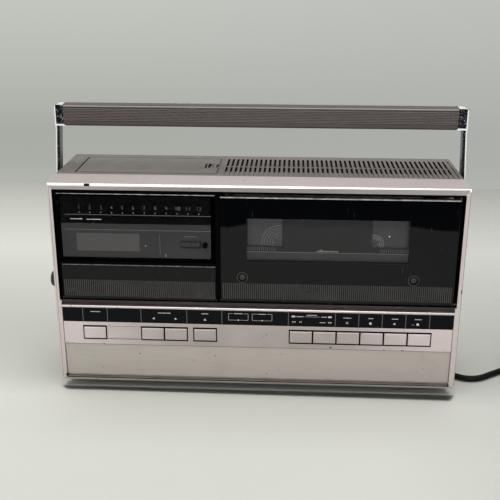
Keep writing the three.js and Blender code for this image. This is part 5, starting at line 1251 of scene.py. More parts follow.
class RECORDER_OT_cord(Builder, bpy.types.Operator):
    """Mains cord, its coil, its plug and the strain relief"""

    bl_idname = "recorder.cord"
    bl_label = "Mains cord"

    diameter = 6.0
    coil_x, coil_depth = 312.0, 53.0
    coil_radius, turn_pitch, layer_pitch = 33.5, 6.8, 6.5
    layers, turns, start = 4, 7 + 1 / 6, math.radians(150)
    plug_axis = 7.2
    tail = 50.0
    lying = 3.3  # height of the cord's middle where it lies on the table
    to_coil = (274.59, 67.67, lying)
    stations = (
        (0, 5.4, 4.6), (3, 5.6, 4.8), (6, 6.4, 5.0), (10, 8.4, 5.6), (14, 10.4, 6.3),
        (18, 11.0, 6.7), (27, 11.0, 6.7), (30, 10.2, 6.0),
    )
    plug_sides, blunt = 24, 0.55
    blade_gap, blade_half = 6.35, 0.75
    blade = (-3.15, 3.15, -30, 47, 2.2)
    rib_reach, rib_tallness, rib_place, rib_pitch = 11.25, 1.48, 19, 0.0024
    relief_rings, relief_start, relief_pitch, relief_radius, relief_taper = 5, 97, 2.1, 5.8, 0.28

    def coil_points(self):
        """Centres of the coil and its tail: x, depth and height above the table."""
        per_layer = self.turns / self.layers
        steps = round(self.turns * 36)
        swing = self.turn_pitch * per_layer
        centres = []
        for i in range(steps + 1):
            turn = i * self.turns / steps
            layer = min(int(turn / per_layer), self.layers - 1)
            share = turn / per_layer - layer
            inward = share if layer % 2 == 0 else 1 - share
            radius = self.coil_radius + swing * (0.5 - inward)
            level = 0.0
            for change in range(1, self.layers):
                done = min(1, max(0, (turn - change * per_layer) / 0.5 + 0.5))
                level += done * done * (3 - 2 * done)
            angle = self.start - 2 * math.pi * turn
            centres.append((
                self.coil_x + radius * math.cos(angle), self.coil_depth + radius * math.sin(angle),
                self.lying + level * self.layer_pitch,
            ))
        end = self.start - 2 * math.pi * self.turns
        away = (math.sin(end), -math.cos(end))
        x, depth, height = centres[-1]
        for i in range(1, 11):
            share = i / 10
            ease = share * share * (3 - 2 * share)
            centres.append((
                x + away[0] * self.tail * share, depth + away[1] * self.tail * share,
                height - (height - self.plug_axis) * ease,
            ))
        x, depth, height = centres[-1]
        centres.append((x + away[0] * self.diameter, depth + away[1] * self.diameter, height))
        return centres

    def build(self, context):
        route = [*CORD_ROUTE, self.to_coil, *self.coil_points()]
        points = self.resampled([Vector((x, y - HALF_DEPTH, z)) * MM for x, y, z in route])
        data = bpy.data.curves.new("mains_cord", "CURVE")
        data.dimensions = "3D"
        data.bevel_depth = self.diameter / 2 * MM
        data.bevel_resolution = 4
        data.use_fill_caps = True
        line = data.splines.new("POLY")
        line.points.add(len(points) - 1)
        for entry, point in zip(line.points, points):
            entry.co = (*point, 1)
        flex = add_piece("mains_cord", data)
        data.materials.append(finish("cord"))
        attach(flex, "casing")
        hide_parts("power_cord", "power_cord_coil")
        plug = self.plug()
        self.relief()
        run = sum((b - a).length for a, b in zip(points, points[1:]))
        tuple(points[0])

    def resampled(self, points):
        """The free stretch as a smooth curve through its points, then the rest as it is."""
        free = len(CORD_ROUTE)
        smooth_part = []
        for i in range(free):
            p0, p1 = points[max(i - 1, 0)], points[i]
            p2, p3 = points[i + 1], points[i + 2]
            for k in range(3):
                t = k / 3
                smooth_part.append(0.5 * (
                    2 * p1 + (p2 - p0) * t + (2 * p0 - 5 * p1 + 4 * p2 - p3) * t * t
                    + (3 * p1 - p0 - 3 * p2 + p3) * t ** 3
                ))
        return smooth_part + points[free:]

    def plug(self):
        """Moulded plug: tapered grip with finger ribs and two flat blades."""
        low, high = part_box("power_plug")
        start, middle, height = low.x / MM, (low.y + high.y) / 2 / MM, self.plug_axis
        points, faces = [], []
        sides = self.plug_sides
        for reach, half_width, half_height in self.stations:
            for i in range(sides):
                angle = 2 * math.pi * i / sides
                c, s = math.cos(angle), math.sin(angle)
                a = math.copysign(abs(c) ** self.blunt, c) * half_width
                b = math.copysign(abs(s) ** self.blunt, s) * half_height
                points.append(Vector((start + reach, middle + a, height + b)) * MM)
        last = len(self.stations) - 1
        for ring in range(last):
            for i in range(sides):
                j = (i + 1) % sides
                a, b = ring * sides, (ring + 1) * sides
                faces.append([a + i, a + j, b + j, b + i])
        faces.append(list(range(sides)))
        faces.append([last * sides + i for i in range(sides)])
        body = add_piece("plug_body", mesh_of("plug_body", points, faces))
        soften(body, 0.0006, 2, 50)
        wear(body, "casing", "rubber", "rubber", "power_plug")
        blades = []
        for side in (-1, 1):
            blades.append(prism(
                [(b, a) for a, b in rounded(*self.blade)], side * self.blade_gap - self.blade_half,
                side * self.blade_gap + self.blade_half,
                lambda x, z, y: Vector((start + max(x, 20), middle + y, height + z)) * MM,
            ))
        pins = solid("plug_blades", *blades)
        soften(pins, 0.0002, 1)
        wear(pins, "casing", "aluminium", "steel")
        ribs = item("plug_rib", prism(
            rounded(-0.5, 0.5, -4.6, 4.6, 0.45, 3), -self.rib_reach, self.rib_reach,
            lambda x, z, y: Vector((x, y, z * self.rib_tallness)) * MM,
        ), origin=Vector((0, 0, 0)))
        grow(
            "plug_ribs", "row", ribs, "casing", "rubber", "rubber", Count=4,
            Start=Vector((start + self.rib_place, middle, height)) * MM,
            Step=(self.rib_pitch, 0, 0),
        )
        return body

    def relief(self):
        """Strain relief: stem, flange and a ringed nose round the cord's start."""
        x, _, height = CORD_ROUTE[0]
        profile = [
            (0, 87.5), (5.2, 87.5), (5.2, 95.2), (7.3, 95.2), (7.5, 95.5), (7.5, 96.7), (7.2, 97),
        ]
        for i in range(self.relief_rings):
            start = self.relief_start + self.relief_pitch * i
            big = self.relief_radius - self.relief_taper * i
            profile += [(big - 0.9, start), (big - 0.9, start + 0.7)]
            profile += [(big, start + 0.9), (big, start + 1.8), (big - 0.3, start + 2.1)]
        profile.append((0, 107.5))
        nose = solid("cord_relief", turned_back(profile, x, height - FOOT_HEIGHT, 32))
        smooth(nose, 40)
        wear(nose, "casing", "rubber", "rubber", "strain_relief")


class RECORDER_OT_frame(Builder, bpy.types.Operator):
    """Front frame with its polished upper edge"""

    bl_idname = "recorder.front_frame"
    bl_label = "Front frame"

    coats = ("champagne", "bright", "slope", "pocket", "foot", "bar", "sill", "dull")
    crown = (FOOT_HEIGHT + 209.1) * MM
    opening_half, opening_foot, opening_top = 0.1978, 0.0105, 0.2124
    bands_top, ledge_top, sill_top, head_foot, lining_front = 0.096, 0.0118, 0.0112, 0.2115, -0.043
    half_width, side_depth, side_slope, side_bend = 201.6, 13.2, 4.2, 2.6
    seam = (-195.9, 195.9, -0.04, 0.3, 2.0, 2.98)
    widened = ((-197.5, -195.5, -2, 10.5, 88.7, 203.9), (195.5, 197.5, -2, 10.5, 88.7, 203.9))
    heightened = (-196, 196, -2, 10.5, 203.0, 204.0)
    corner_nick = ((-0.08, 207.6), (-0.08, 208.3), (0.9, 209.9), (1.3, 208.6))
    edge_nick = ((-0.05, 207.0), (-0.05, 207.7), (0.4, 207.7), (0.4, 207.0))
    side_nick = ((200.2, 104.5), (201.0, 104.5), (201.2, 108.5), (200.5, 108.5))
    corner_gap_shade = ((194.9, 196.6, -0.04, 0.3, 2.6, 4.2), (-196.9, -195.0, -0.04, 0.3, 3.2, 6.5))
    lines = ((-200.1, -199.8, -0.03, 0.3, 2.5, 207.2), (201.0, 201.3, -0.03, 0.3, 3, 206.5))

    def build(self, context):
        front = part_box("front_bezel")[0].y
        piece = merged("front_bezel", "front_frame")
        self.bulge(piece.data, front)
        carve(piece, *[box(*sides) for sides in self.widened])
        carve(piece, box(*self.heightened))
        soften(piece, sizes().bright_edge, 3, chosen=upper_front_edge(front, self.crown))
        soften(piece, sizes().edge_radius, 2, 40)
        wear(piece, "casing", self.coats, "champagne_metal", "front_bezel", pick=self.coat)
        # A thin dark line painted across the foot of the frame: painted shadow under the lower panel.
        part("foot_seam", "casing", "slot", "matt_black", box(*self.seam))
        # Dark nicks in the frame's edges, and dark marks in its two lower corners that are painted
        # shade in the gaps there.
        part(
            "frame_nicks", "casing", "slot", "champagne_metal",
            run_across(self.corner_nick, -165.4, -160.2), run_across(self.edge_nick, -64.9, -63.7),
            *[box(*sides) for sides in self.corner_gap_shade], run_back(self.side_nick, -0.04, 0.3),
        )
        # Thin dark lines painted near the frame's left and right outer edges: painted shade where the
        # edges turn away.
        lines = [box(*sides) for sides in self.lines]
        part("frame_lines", "casing", "dull", "champagne_metal", *lines)

    def coat(self, face):
        """Finish of a face, by where it lies and which way it looks. The upward slope takes a darker
        copy of the metal and the ledge at the foot a shaded one, both painted shade; the inner walls
        of the opening and the outer side bevels take painted shade too, and the rounded upper edge a
        painted highlight.
        """
        x, y, z = face.center
        across, ahead, up = face.normal
        inside = abs(x) < self.opening_half and self.opening_foot < z < self.opening_top
        inward = across * x < -0.6 * abs(x)
        outward = across * math.copysign(1, x)
        name = None
        if face.material_index == 1:
            name = "bright"
        elif z > self.crown and up > 0.4:
            name = "slope"
        elif inside and z > self.bands_top and (inward or up < -0.6 or y > self.lining_front):
            name = "pocket"
        elif inside and z < self.ledge_top and up > 0.6:
            name = "foot"
        elif ahead < -0.6 and z > self.head_foot:
            name = "bar"
        elif ahead < -0.2 and z < self.sill_top:
            name = "sill"
        elif abs(x) > 0.2 and 0.3 < outward < 0.9 and z < self.crown:
            name = "dull"
        return name

    def bulge(self, mesh, front):
        """The outer sides stay wide at first and then curve in to the casing."""
        shell = bmesh.new()
        shell.from_mesh(mesh)
        for share in (0.2, 0.4, 0.6, 0.8):
            plane = front + self.side_depth * MM * share
            geometry = shell.verts[:] + shell.edges[:] + shell.faces[:]
            bmesh.ops.bisect_plane(
                shell, geom=geometry, dist=1e-6, plane_co=(0, plane, 0), plane_no=(0, 1, 0),
            )
            straight = (self.half_width - self.side_slope * share) * MM
            curved = (self.half_width - self.side_slope * share ** self.side_bend) * MM
            for vertex in shell.verts:
                if abs(vertex.co.y - plane) < 1e-5 and abs(abs(vertex.co.x) - straight) < 2e-5:
                    vertex.co.x = math.copysign(curved, vertex.co.x)
        shell.to_mesh(mesh)
        shell.free()


class RECORDER_OT_casing(Builder, bpy.types.Operator):
    """Top cover, rear cover, bottom pan, feet, lid, latch and the cap on the left side"""

    bl_idname = "recorder.casing"
    bl_label = "Casing"

    shells = (
        ("rear_cover", "casing", "cover", "cover_paint", 0.0003, 1),
        ("bottom_pan", "casing", "steel", "steel", 0.0003, 1),
        ("foot_front_left", "casing", "rubber", "rubber", 0.0006, 2),
        ("foot_front_right", "casing", "rubber", "rubber", 0.0006, 2),
        ("foot_rear_left", "casing", "rubber", "rubber", 0.0006, 2),
        ("foot_rear_right", "casing", "rubber", "rubber", 0.0006, 2),
    )
    fittings = (
        ("lid_latch", "lid_latch", "lid", "lid_paint", 0.0002, 2),
        ("battery_tray", "casing", "matt", "matt_black", 0.0003, 1),
        ("side_socket_cap", "casing", "rubber", "rubber", 0.0004, 2, 40),
    )
    lid_gaps = {(0, -1): 0.0009, (0, 1): 0.0005, (1, -1): 0.0016, (1, 1): 0.00035}
    latch_holes = (
        (-50.8, -48.4, 44.5, 60.5), (-48.4, -47.3, 52, 57), (-42.6, -41.2, 45, 58),
        (-41.2, -40.0, 52, 58),
    )
    vent_screen = (-34, 194, 30, 84, 208.6, 209.2)
    door_head = (-197.3, 197.3, 3.2, 6.2, 201.2, 205.4)
    jack = (
        (0, 1.2), (3.4, 1.2), (3.4, 4.6), (2.3, 4.6), (2.3, 2.2), (0.8, 2.2), (0.7, 4.0), (0, 4.2),
    )

    def build(self, context):
        self.top_cover()
        refine_all(self.shells)
        self.lid()
        refine_all(self.fittings)
        self.screws()
        self.sockets()
        # A black block in the gap above the doors: painted shade.
        part("door_head", "casing", "pocket", "matt_black", box(*self.door_head))

    def lid(self):
        """Battery lid with a slightly open seam, and the latch's two small holes, drawn as black
        patches: painted shade.
        """
        piece = merged("battery_lid", "battery_lid_shape")
        low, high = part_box("battery_lid")
        middle = (low + high) / 2
        half = (high - low) / 2
        for vertex in piece.data.vertices:
            for axis in (0, 1):
                reach = vertex.co[axis] - middle[axis]
                if abs(reach) > half[axis] - 1e-5:
                    side = -1 if reach < 0 else 1
                    vertex.co[axis] -= side * self.lid_gaps[axis, side]
        soften(piece, 0.0003, 2)
        wear(piece, "battery_lid", "lid", "lid_paint", "battery_lid")
        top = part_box("lid_latch")[1].z / MM - FOOT_HEIGHT
        holes = [box(*sides, top - 0.2, top + 0.03) for sides in self.latch_holes]
        part("latch_holes", "lid_latch", "pocket", "matt_black", *holes)

    def top_cover(self):
        """Bent cover whose slot walls take painted shade, with a black sheet under the slots: painted
        shade inside them.
        """
        piece = merged("top_cover", "top_cover_shape")
        soften(piece, 0.0002, 1)
        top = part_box("top_cover")[1].z

        def coat(face):
            x, y, z = face.center
            upright = abs(face.normal.x) > 0.6 or abs(face.normal.y) > 0.6
            vented = abs(x) < 0.1945 and -0.033 < y < 0.044
            in_sheet = top - 0.0023 < z < top - 0.00025
            return "slot" if vented and in_sheet and upright else None

        wear(piece, "casing", ("cover", "slot"), "cover_paint", "top_cover", pick=coat)
        screen = rounded_solid("vent_screen", 0.0002, box(*self.vent_screen), segments=1)
        wear(screen, "casing", "slot", "matt_black")

    def screws(self):
        head = screw_item(sizes().screw_radius / MM, facing=1)
        spots = [at(x, 95.2, z) for x in (-188, 0, 188) for z in (10, 206)]
        grow("rear_screws", "places", head, "casing", "steel", "steel", spots)

    def sockets(self):
        """Rings and centre contacts of the sockets in the sunk bay of the back."""
        ring = item("jack_ring", turned_back(self.jack, 0, 0, 24))
        columns = [-150 + 96 * (i + 0.5) / 4 for i in range(4)]
        rows = [70 + 38 * (k + 0.5) / 2 for k in range(2)]
        spots = [at(x, 84, z) for x in columns for z in rows]
        grow("jack_rings", "places", ring, "casing", "aluminium", "aluminium", spots)


class RECORDER_OT_handle(Builder, bpy.types.Operator):
    """Carrying handle: two chromed arms and a ribbed grip"""

    bl_idname = "recorder.handle"
    bl_label = "Handle"

    levels = (0.205, 0.213, 0.222, 0.232, 0.242, 0.252, 0.262, 0.2656)
    arm_coats = ("chrome", "dark_chrome", "rim", "side")
    block_foot, block_lip, front_half = 0.264, 0.2656, 0.2023
    lean = {"left": 0.0032, "right": 0.0026}
    swell, swell_foot, swell_rise = 0.0034, 0.205, 0.017
    lean_foot, lean_rise, stretch = 0.213, 0.049, 20.6 / 19

    def build(self, context):
        for side in ("left", "right"):
            self.arm(side)
            refined("handle_pivot_" + side, "casing", "matt", "matt_black", 0.0003, 2)
        self.grip()

    def arm(self, side):
        name = "handle_arm_" + side
        piece = merged(name, name + "_shape")
        near, far = (-193.28, -180) if side == "left" else (180, 193.28)
        carve(piece, box(near, far, 30, 65, 255, 257.6))
        self.cut_levels(piece.data)
        soften(piece, 0.0006, 2, 30)
        paint(piece, self.arm_coats, self.arm_coat)
        self.shape(piece.data, self.lean[side])
        wear(piece, "handle", self.arm_coats, "arm_chrome", name)

    def arm_coat(self, face):
        """Finish of a face of an arm, by where it lies and which way it looks; faces that turn
        outward or up take a painted highlight.
        """
        x, y, z = face.normal
        place = face.center
        outward = x * math.copysign(1, place.x)
        block = place.z > self.block_foot
        lip = block and place.z < self.block_lip and abs(place.x) < 0.2
        name = None
        if outward > 0.35 or (block and z > 0.35) or (lip and y < 0):
            name = "rim"
        elif y < -0.9 and abs(place.x) < self.front_half:
            name = "dark_chrome"
        elif y < -0.3:
            name = "rim" if outward > -0.1 else "dark_chrome"
        elif outward < -0.35 and not block:
            name = "side"
        return name

    def cut_levels(self, mesh):
        """Cuts the arm across at several heights, so that it can bend."""
        shell = bmesh.new()
        shell.from_mesh(mesh)
        cuts = [((0, 0, z), (0, 0, 1)) for z in self.levels]
        cuts += [((x, 0, 0), (1, 0, 0)) for x in (-self.front_half, self.front_half)]
        for place, way in cuts:
            geometry = shell.verts[:] + shell.edges[:] + shell.faces[:]
            bmesh.ops.bisect_plane(
                shell, geom=geometry, dist=1e-6, plane_co=place, plane_no=way,
            )
        shell.to_mesh(mesh)
        shell.free()

    def shape(self, mesh, lean):
        """The sprung arms lean in a little towards the grip, and run deeper than the blocks."""
        for vertex in mesh.vertices:
            place = vertex.co
            if place.y > 0.006 and place.z < 0.2636:
                risen = (place.z - self.swell_foot) / self.swell_rise
                place.y += self.swell * min(1, max(0, risen))
            risen = (place.z - self.lean_foot) / self.lean_rise
            place.x -= math.copysign(lean * min(1, max(0, risen)), place.x)
            if place.z > 0.2625:
                place.z = 0.2655 + (place.z - self.block_foot) * self.stretch

    def grip(self):
        """Bar with long rounded ribs down its front face, in lighter and darker copies of its
        plastic: painted light on the faces that look up, on thin lines along its edges and a little
        on the ribs, and painted shade underneath, behind the ribs and on a band below them.
        """
        half = 191.6
        front, back = 39.5, 55.5
        top, bottom = 279.0, 257.5
        bar = solid("grip_bar", run_across(rounded(front + 0.7, back, bottom, top, 2.0), -half, half))
        tenon = [box(s - 5.9, s + 5.9, 43.7, 51.3, 262.4, 273.3) for s in (-half, half)]
        carve(bar, *tenon)
        soften(bar, 0.0003, 2, 40)
        band_foot, band_top = at(0, 0, top - 16.8).z, at(0, 0, top - 3.6).z

        def coat(face):
            ahead, up = face.normal.y, face.normal.z
            if band_foot < face.center.z < band_top and ahead < -0.9:
                return "grip_dark"
            if up > 0.5:
                return "grip_upper"
            return "grip_low" if up < -0.3 else "grip"

        coats = ("grip", "grip_dark", "grip_upper", "grip_low")
        wear(bar, "handle", coats, "grip_plastic", "handle_grip", pick=coat)
        for name, painted_light, sides in (
            ("grip_low_band", "grip_low", (front + 0.66, front + 1.2, bottom + 1.6, top - 17.0)),
            ("grip_back_edge", "grip_top", (49.5, 53.6, top - 0.1, top + 0.04)),
            ("grip_front_edge", "grip_top", (front + 0.62, front + 1.0, top - 2.4, top - 1.3)),
        ):
            part(name, "handle", painted_light, "grip_plastic", box(-half + 0.4, half - 0.4, *sides))
        pitch = sizes().grip_rib_pitch
        span = pitch / MM
        rib = item("grip_rib", run_across(
            [(0.9, -span * 0.36), (0.25, -span * 0.34), (0.0, -span * 0.16), (0.0, span * 0.1),
             (0.25, span * 0.24), (0.9, span * 0.28)],
            -half + 0.15, half - 0.15,
        ))
        ribs = grow(
            "grip_ribs", "row", rib, "handle", "grip_rib", "grip_plastic", Count=8,
            Start=at(0, front, top - 4.6), Step=(0, 0, -pitch),
        )
        smooth(ribs, 50)


BUTTONS = {  # middle of each, from the left
    "power": -163.85, "channel_down": -104.72, "channel_up": -81.12, "eject": -51.52,
    "search_forward": 45.13, "search_reverse": 68.73, "pause": 92.33, "record": 115.93,
    "play": 139.53, "stop": 163.13,
}


class RECORDER_OT_bands(Builder, bpy.types.Operator):
    """Bands under the doors: lower panel, control panel, push buttons, legend strip, moulding"""

    bl_idname = "recorder.bands"
    bl_label = "Panels and buttons"

    well_half, well_bottom, well_top, line = 11.45, 46.5, 60.7, 0.72
    wells = (
        ("power", "power"), ("channel_down", "channel_up"), ("eject", "eject"),
        ("search_forward", "stop"),
    )
    nicks = (
        (75.4, 42.5, 1.0, 0.8), (129.1, 41.2, 0.7, 0.35), (147.5, 41.0, 1.7, 0.3),
        (109.5, 42.0, 0.4, 0.3), (-187.5, 41.3, 0.4, 0.35), (-155.5, 41.2, 0.6, 0.35),
        (35.5, 43.0, 0.35, 0.3), (-157.8, 13.8, 0.4, 0.4), (-41.7, 30.2, 0.5, 0.4),
        (-118.9, 30.5, 0.9, 0.25), (-193.2, 41.5, 0.8, 0.35), (170, 21, 0.3, 0.3),
        (24, 16, 0.35, 0.35),
    )
    legend_face, legend_foot, legend_top = 1.4, 65.7, 80.1
    dividers = (-175.6, -150.5, -116.3, -69.8, -34.5, 32.3, 79.1, 102.4, 125.7, 149.0, 172.5)
    dashes = (
        (-167.6, -157.6, 76.2), (-99.0, -86.2, 76.2), (-54.9, -48.1, 76.4), (50.6, 60.6, 77.4),
        (40.2, 47.4, 75.6), (64.9, 70.6, 75.6), (63.6, 69.4, 69.6), (87.0, 94.8, 75.2),
        (112.0, 116.6, 75.2), (135.0, 141.4, 75.2), (157.6, 164.8, 75.2),
    )
    strokes = (
        (48.6, 63.4, 75.5, 75.75), (43.5, 44.1, 69.0, 70.6), (44.9, 45.5, 69.0, 70.6),
        (89.9, 90.5, 68.9, 70.8), (91.3, 91.9, 68.9, 70.8), (159.7, 162.1, 68.7, 71.1),
        (155.2, 157.6, 69.2, 69.5),
    )
    arrows = (
        (-103.8, 70.1, -1.25), (-80.9, 70.1, 1.25), (36.6, 69.7, -0.85), (38.6, 69.7, -0.85),
        (73.0, 69.7, 0.85), (75.0, 69.7, 0.85), (137.5, 69.8, -1.25),
    )

    def build(self, context):
        refined("lower_panel", "casing", "lower", "lower_panel_metal", 0.0004, 2)
        panel = refined("control_panel", "casing", "panel", "champagne_metal", 0.0002, 2)
        self.darken_wells(panel)
        for name in BUTTONS:
            self.button(name + "_button")
        refined("legend_strip", "casing", "legend", "gloss_black", 0.0003, 2)
        self.moulding()
        self.legends()
        self.button_frames()

    def button_frames(self):
        """Black lines painted round the wells of the buttons: painted shade that widens their dark
        gaps.
        """
        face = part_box("control_panel")[0].y / MM + HALF_DEPTH
        bottom, top = self.well_bottom, self.well_top
        foot, head = bottom - self.line, top + self.line
        gap_shade = []
        for first, last in self.wells:
            left = BUTTONS[first] - self.well_half
            right = BUTTONS[last] + self.well_half
            for a, b, low, high in (
                (left - self.line, left, foot, head), (right, right + self.line, foot, head),
                (left, right, foot, bottom), (left, right, top, head),
            ):
                gap_shade.append(box(a, b, face - 0.05, face + 0.05, low, high))
        part("button_frames", "casing", "pocket", "gloss_black", *gap_shade)
        # Painted shade: dark lines at the top and foot of the shallow channel, and along the gap
        # between the two panels.
        shade_lines = [
            box(-151.2, -117.4, face - 0.03, face + 0.05, 60.5, 60.8),
            box(-151.2, -117.4, face - 0.03, face + 0.05, 46.3, 46.9),
            box(-195.9, 195.9, face - 0.03, face + 0.3, 40.38, 40.74),
        ]
        part("panel_lines", "casing", "dull", "champagne_metal", *shade_lines)
        nicks = []
        for x, z, a, b in self.nicks:
            outline = rounded(x - a, x + a, z - b, z + b, min(a, b) * 0.9, 2)
            nicks.append(run_back(outline, face - 0.03, face + 0.2))
        part("panel_nicks", "casing", "slot", "champagne_metal", *nicks)

    def button(self, node):
        """Cap a little clear of its neighbours: its bevels that face up or to the side take a lighter
        copy of the metal, a painted highlight, and its sides take painted shade in black.
        """
        piece = merged(node, node + "_shape")
        low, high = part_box(node)
        middle, reach = (low.x + high.x) / 2, (high.x - low.x) / 2
        for vertex in piece.data.vertices:
            if abs(vertex.co.x - middle) > reach - 1e-5 and vertex.co.y < low.y + 0.0015:
                vertex.co.x -= math.copysign(0.00022, vertex.co.x - middle)
        soften(piece, sizes().button_edge, 2)
        shoulder = low.y + 0.00105

        def coat(face):
            way = face.normal
            if face.center.y > shoulder:
                return "pocket"
            lit = -0.8 < way.y < -0.3 and (way.z > 0.25 or abs(way.x) > 0.25)
            return "lit" if lit else "panel"

        wear(piece, node, ("panel", "pocket", "lit"), "champagne_metal", node, pick=coat)

    def darken_wells(self, panel):
        """The floors and walls of the button wells are painted black, and the shallow channel's walls
        dark: painted shade.
        """
        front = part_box("control_panel")[0].y

        def coat(face):
            depth = face.center.y - front
            deep = depth > 0.0007
            if not deep and (depth <= 0.00022 or abs(face.normal.y) >= 0.3):
                return None
            return "dull" if -0.152 < face.center.x < -0.117 and depth < 0.0007 else "pocket"

        paint(panel, ("panel", "pocket", "dull"), coat)

    def moulding(self):
        """Rounded bright moulding with a brown band of painted shade above it, for the recess under
        the doors.
        """
        piece = merged("trim_strip", "moulding")
        soften(piece, 0.0002, 2, 40)
        bead = at(0, 0, 84.1).z
        smooth(piece, 40)
        wear(
            piece, "casing", ("trim", "brown"), "bright_trim", "trim_strip",
            pick=lambda face: "brown" if face.center.z > bead else "trim",
        )

    def legends(self):
        """Dividers, outlined boxes, symbols and dashes of the printed strip."""
        face, proud = self.legend_face, sizes().print_height / MM

        def figure(outline):
            return run_back(outline, face - proud, face + 0.05)

        def bar(left, right, bottom, top):
            return figure(rectangle(left, right, bottom, top))

        tall = self.legend_top - self.legend_foot
        divider = item("divider", run_back(rectangle(-0.28, 0.28, 0, tall), -proud, 0.05))
        spots = [at(x, face, self.legend_foot) for x in self.dividers]
        grow("legend_dividers", "places", divider, "casing", "dim", "white_plastic", spots)
        marks = []
        for left, right in ((-27.8, -7.9), (-4.1, 16.0)):
            middle = (left + right) / 2
            marks += [
                bar(left, left + 0.26, 70.1, 77.5), bar(right - 0.26, right, 70.1, 77.5),
                bar(left, middle - 1.2, 70.1, 70.36), bar(middle + 1.2, right, 70.1, 70.36),
                bar(left, middle - 5.2, 77.2, 77.46), bar(middle + 5.2, right, 77.2, 77.46),
                bar(middle - 4.3, middle + 4.3, 77.0, 77.6),
                figure(circle(middle, 70.3, 0.75, 16)),
            ]
        for left, right, height in self.dashes:
            marks.append(bar(left, right, height - 0.32, height + 0.32))
        marks += [bar(*sides) for sides in self.strokes]
        marks += [figure(rounded(x - 1.9, x + 1.9, 74.8, 76.6, 0.85, 4)) for x in (37.3, 73.6)]
        for x, z, reach in self.arrows:
            tall = abs(reach)
            marks.append(figure([(x - reach, z - tall), (x - reach, z + tall), (x + reach, z)]))
        marks.append(figure([(-52.9, 69.0), (-50.1, 69.0), (-51.5, 71.4)]))
        marks.append(figure(circle(114.2, 69.8, 1.35, 20)))
        part("legend_marks", "casing", "print", "white_plastic", *marks)


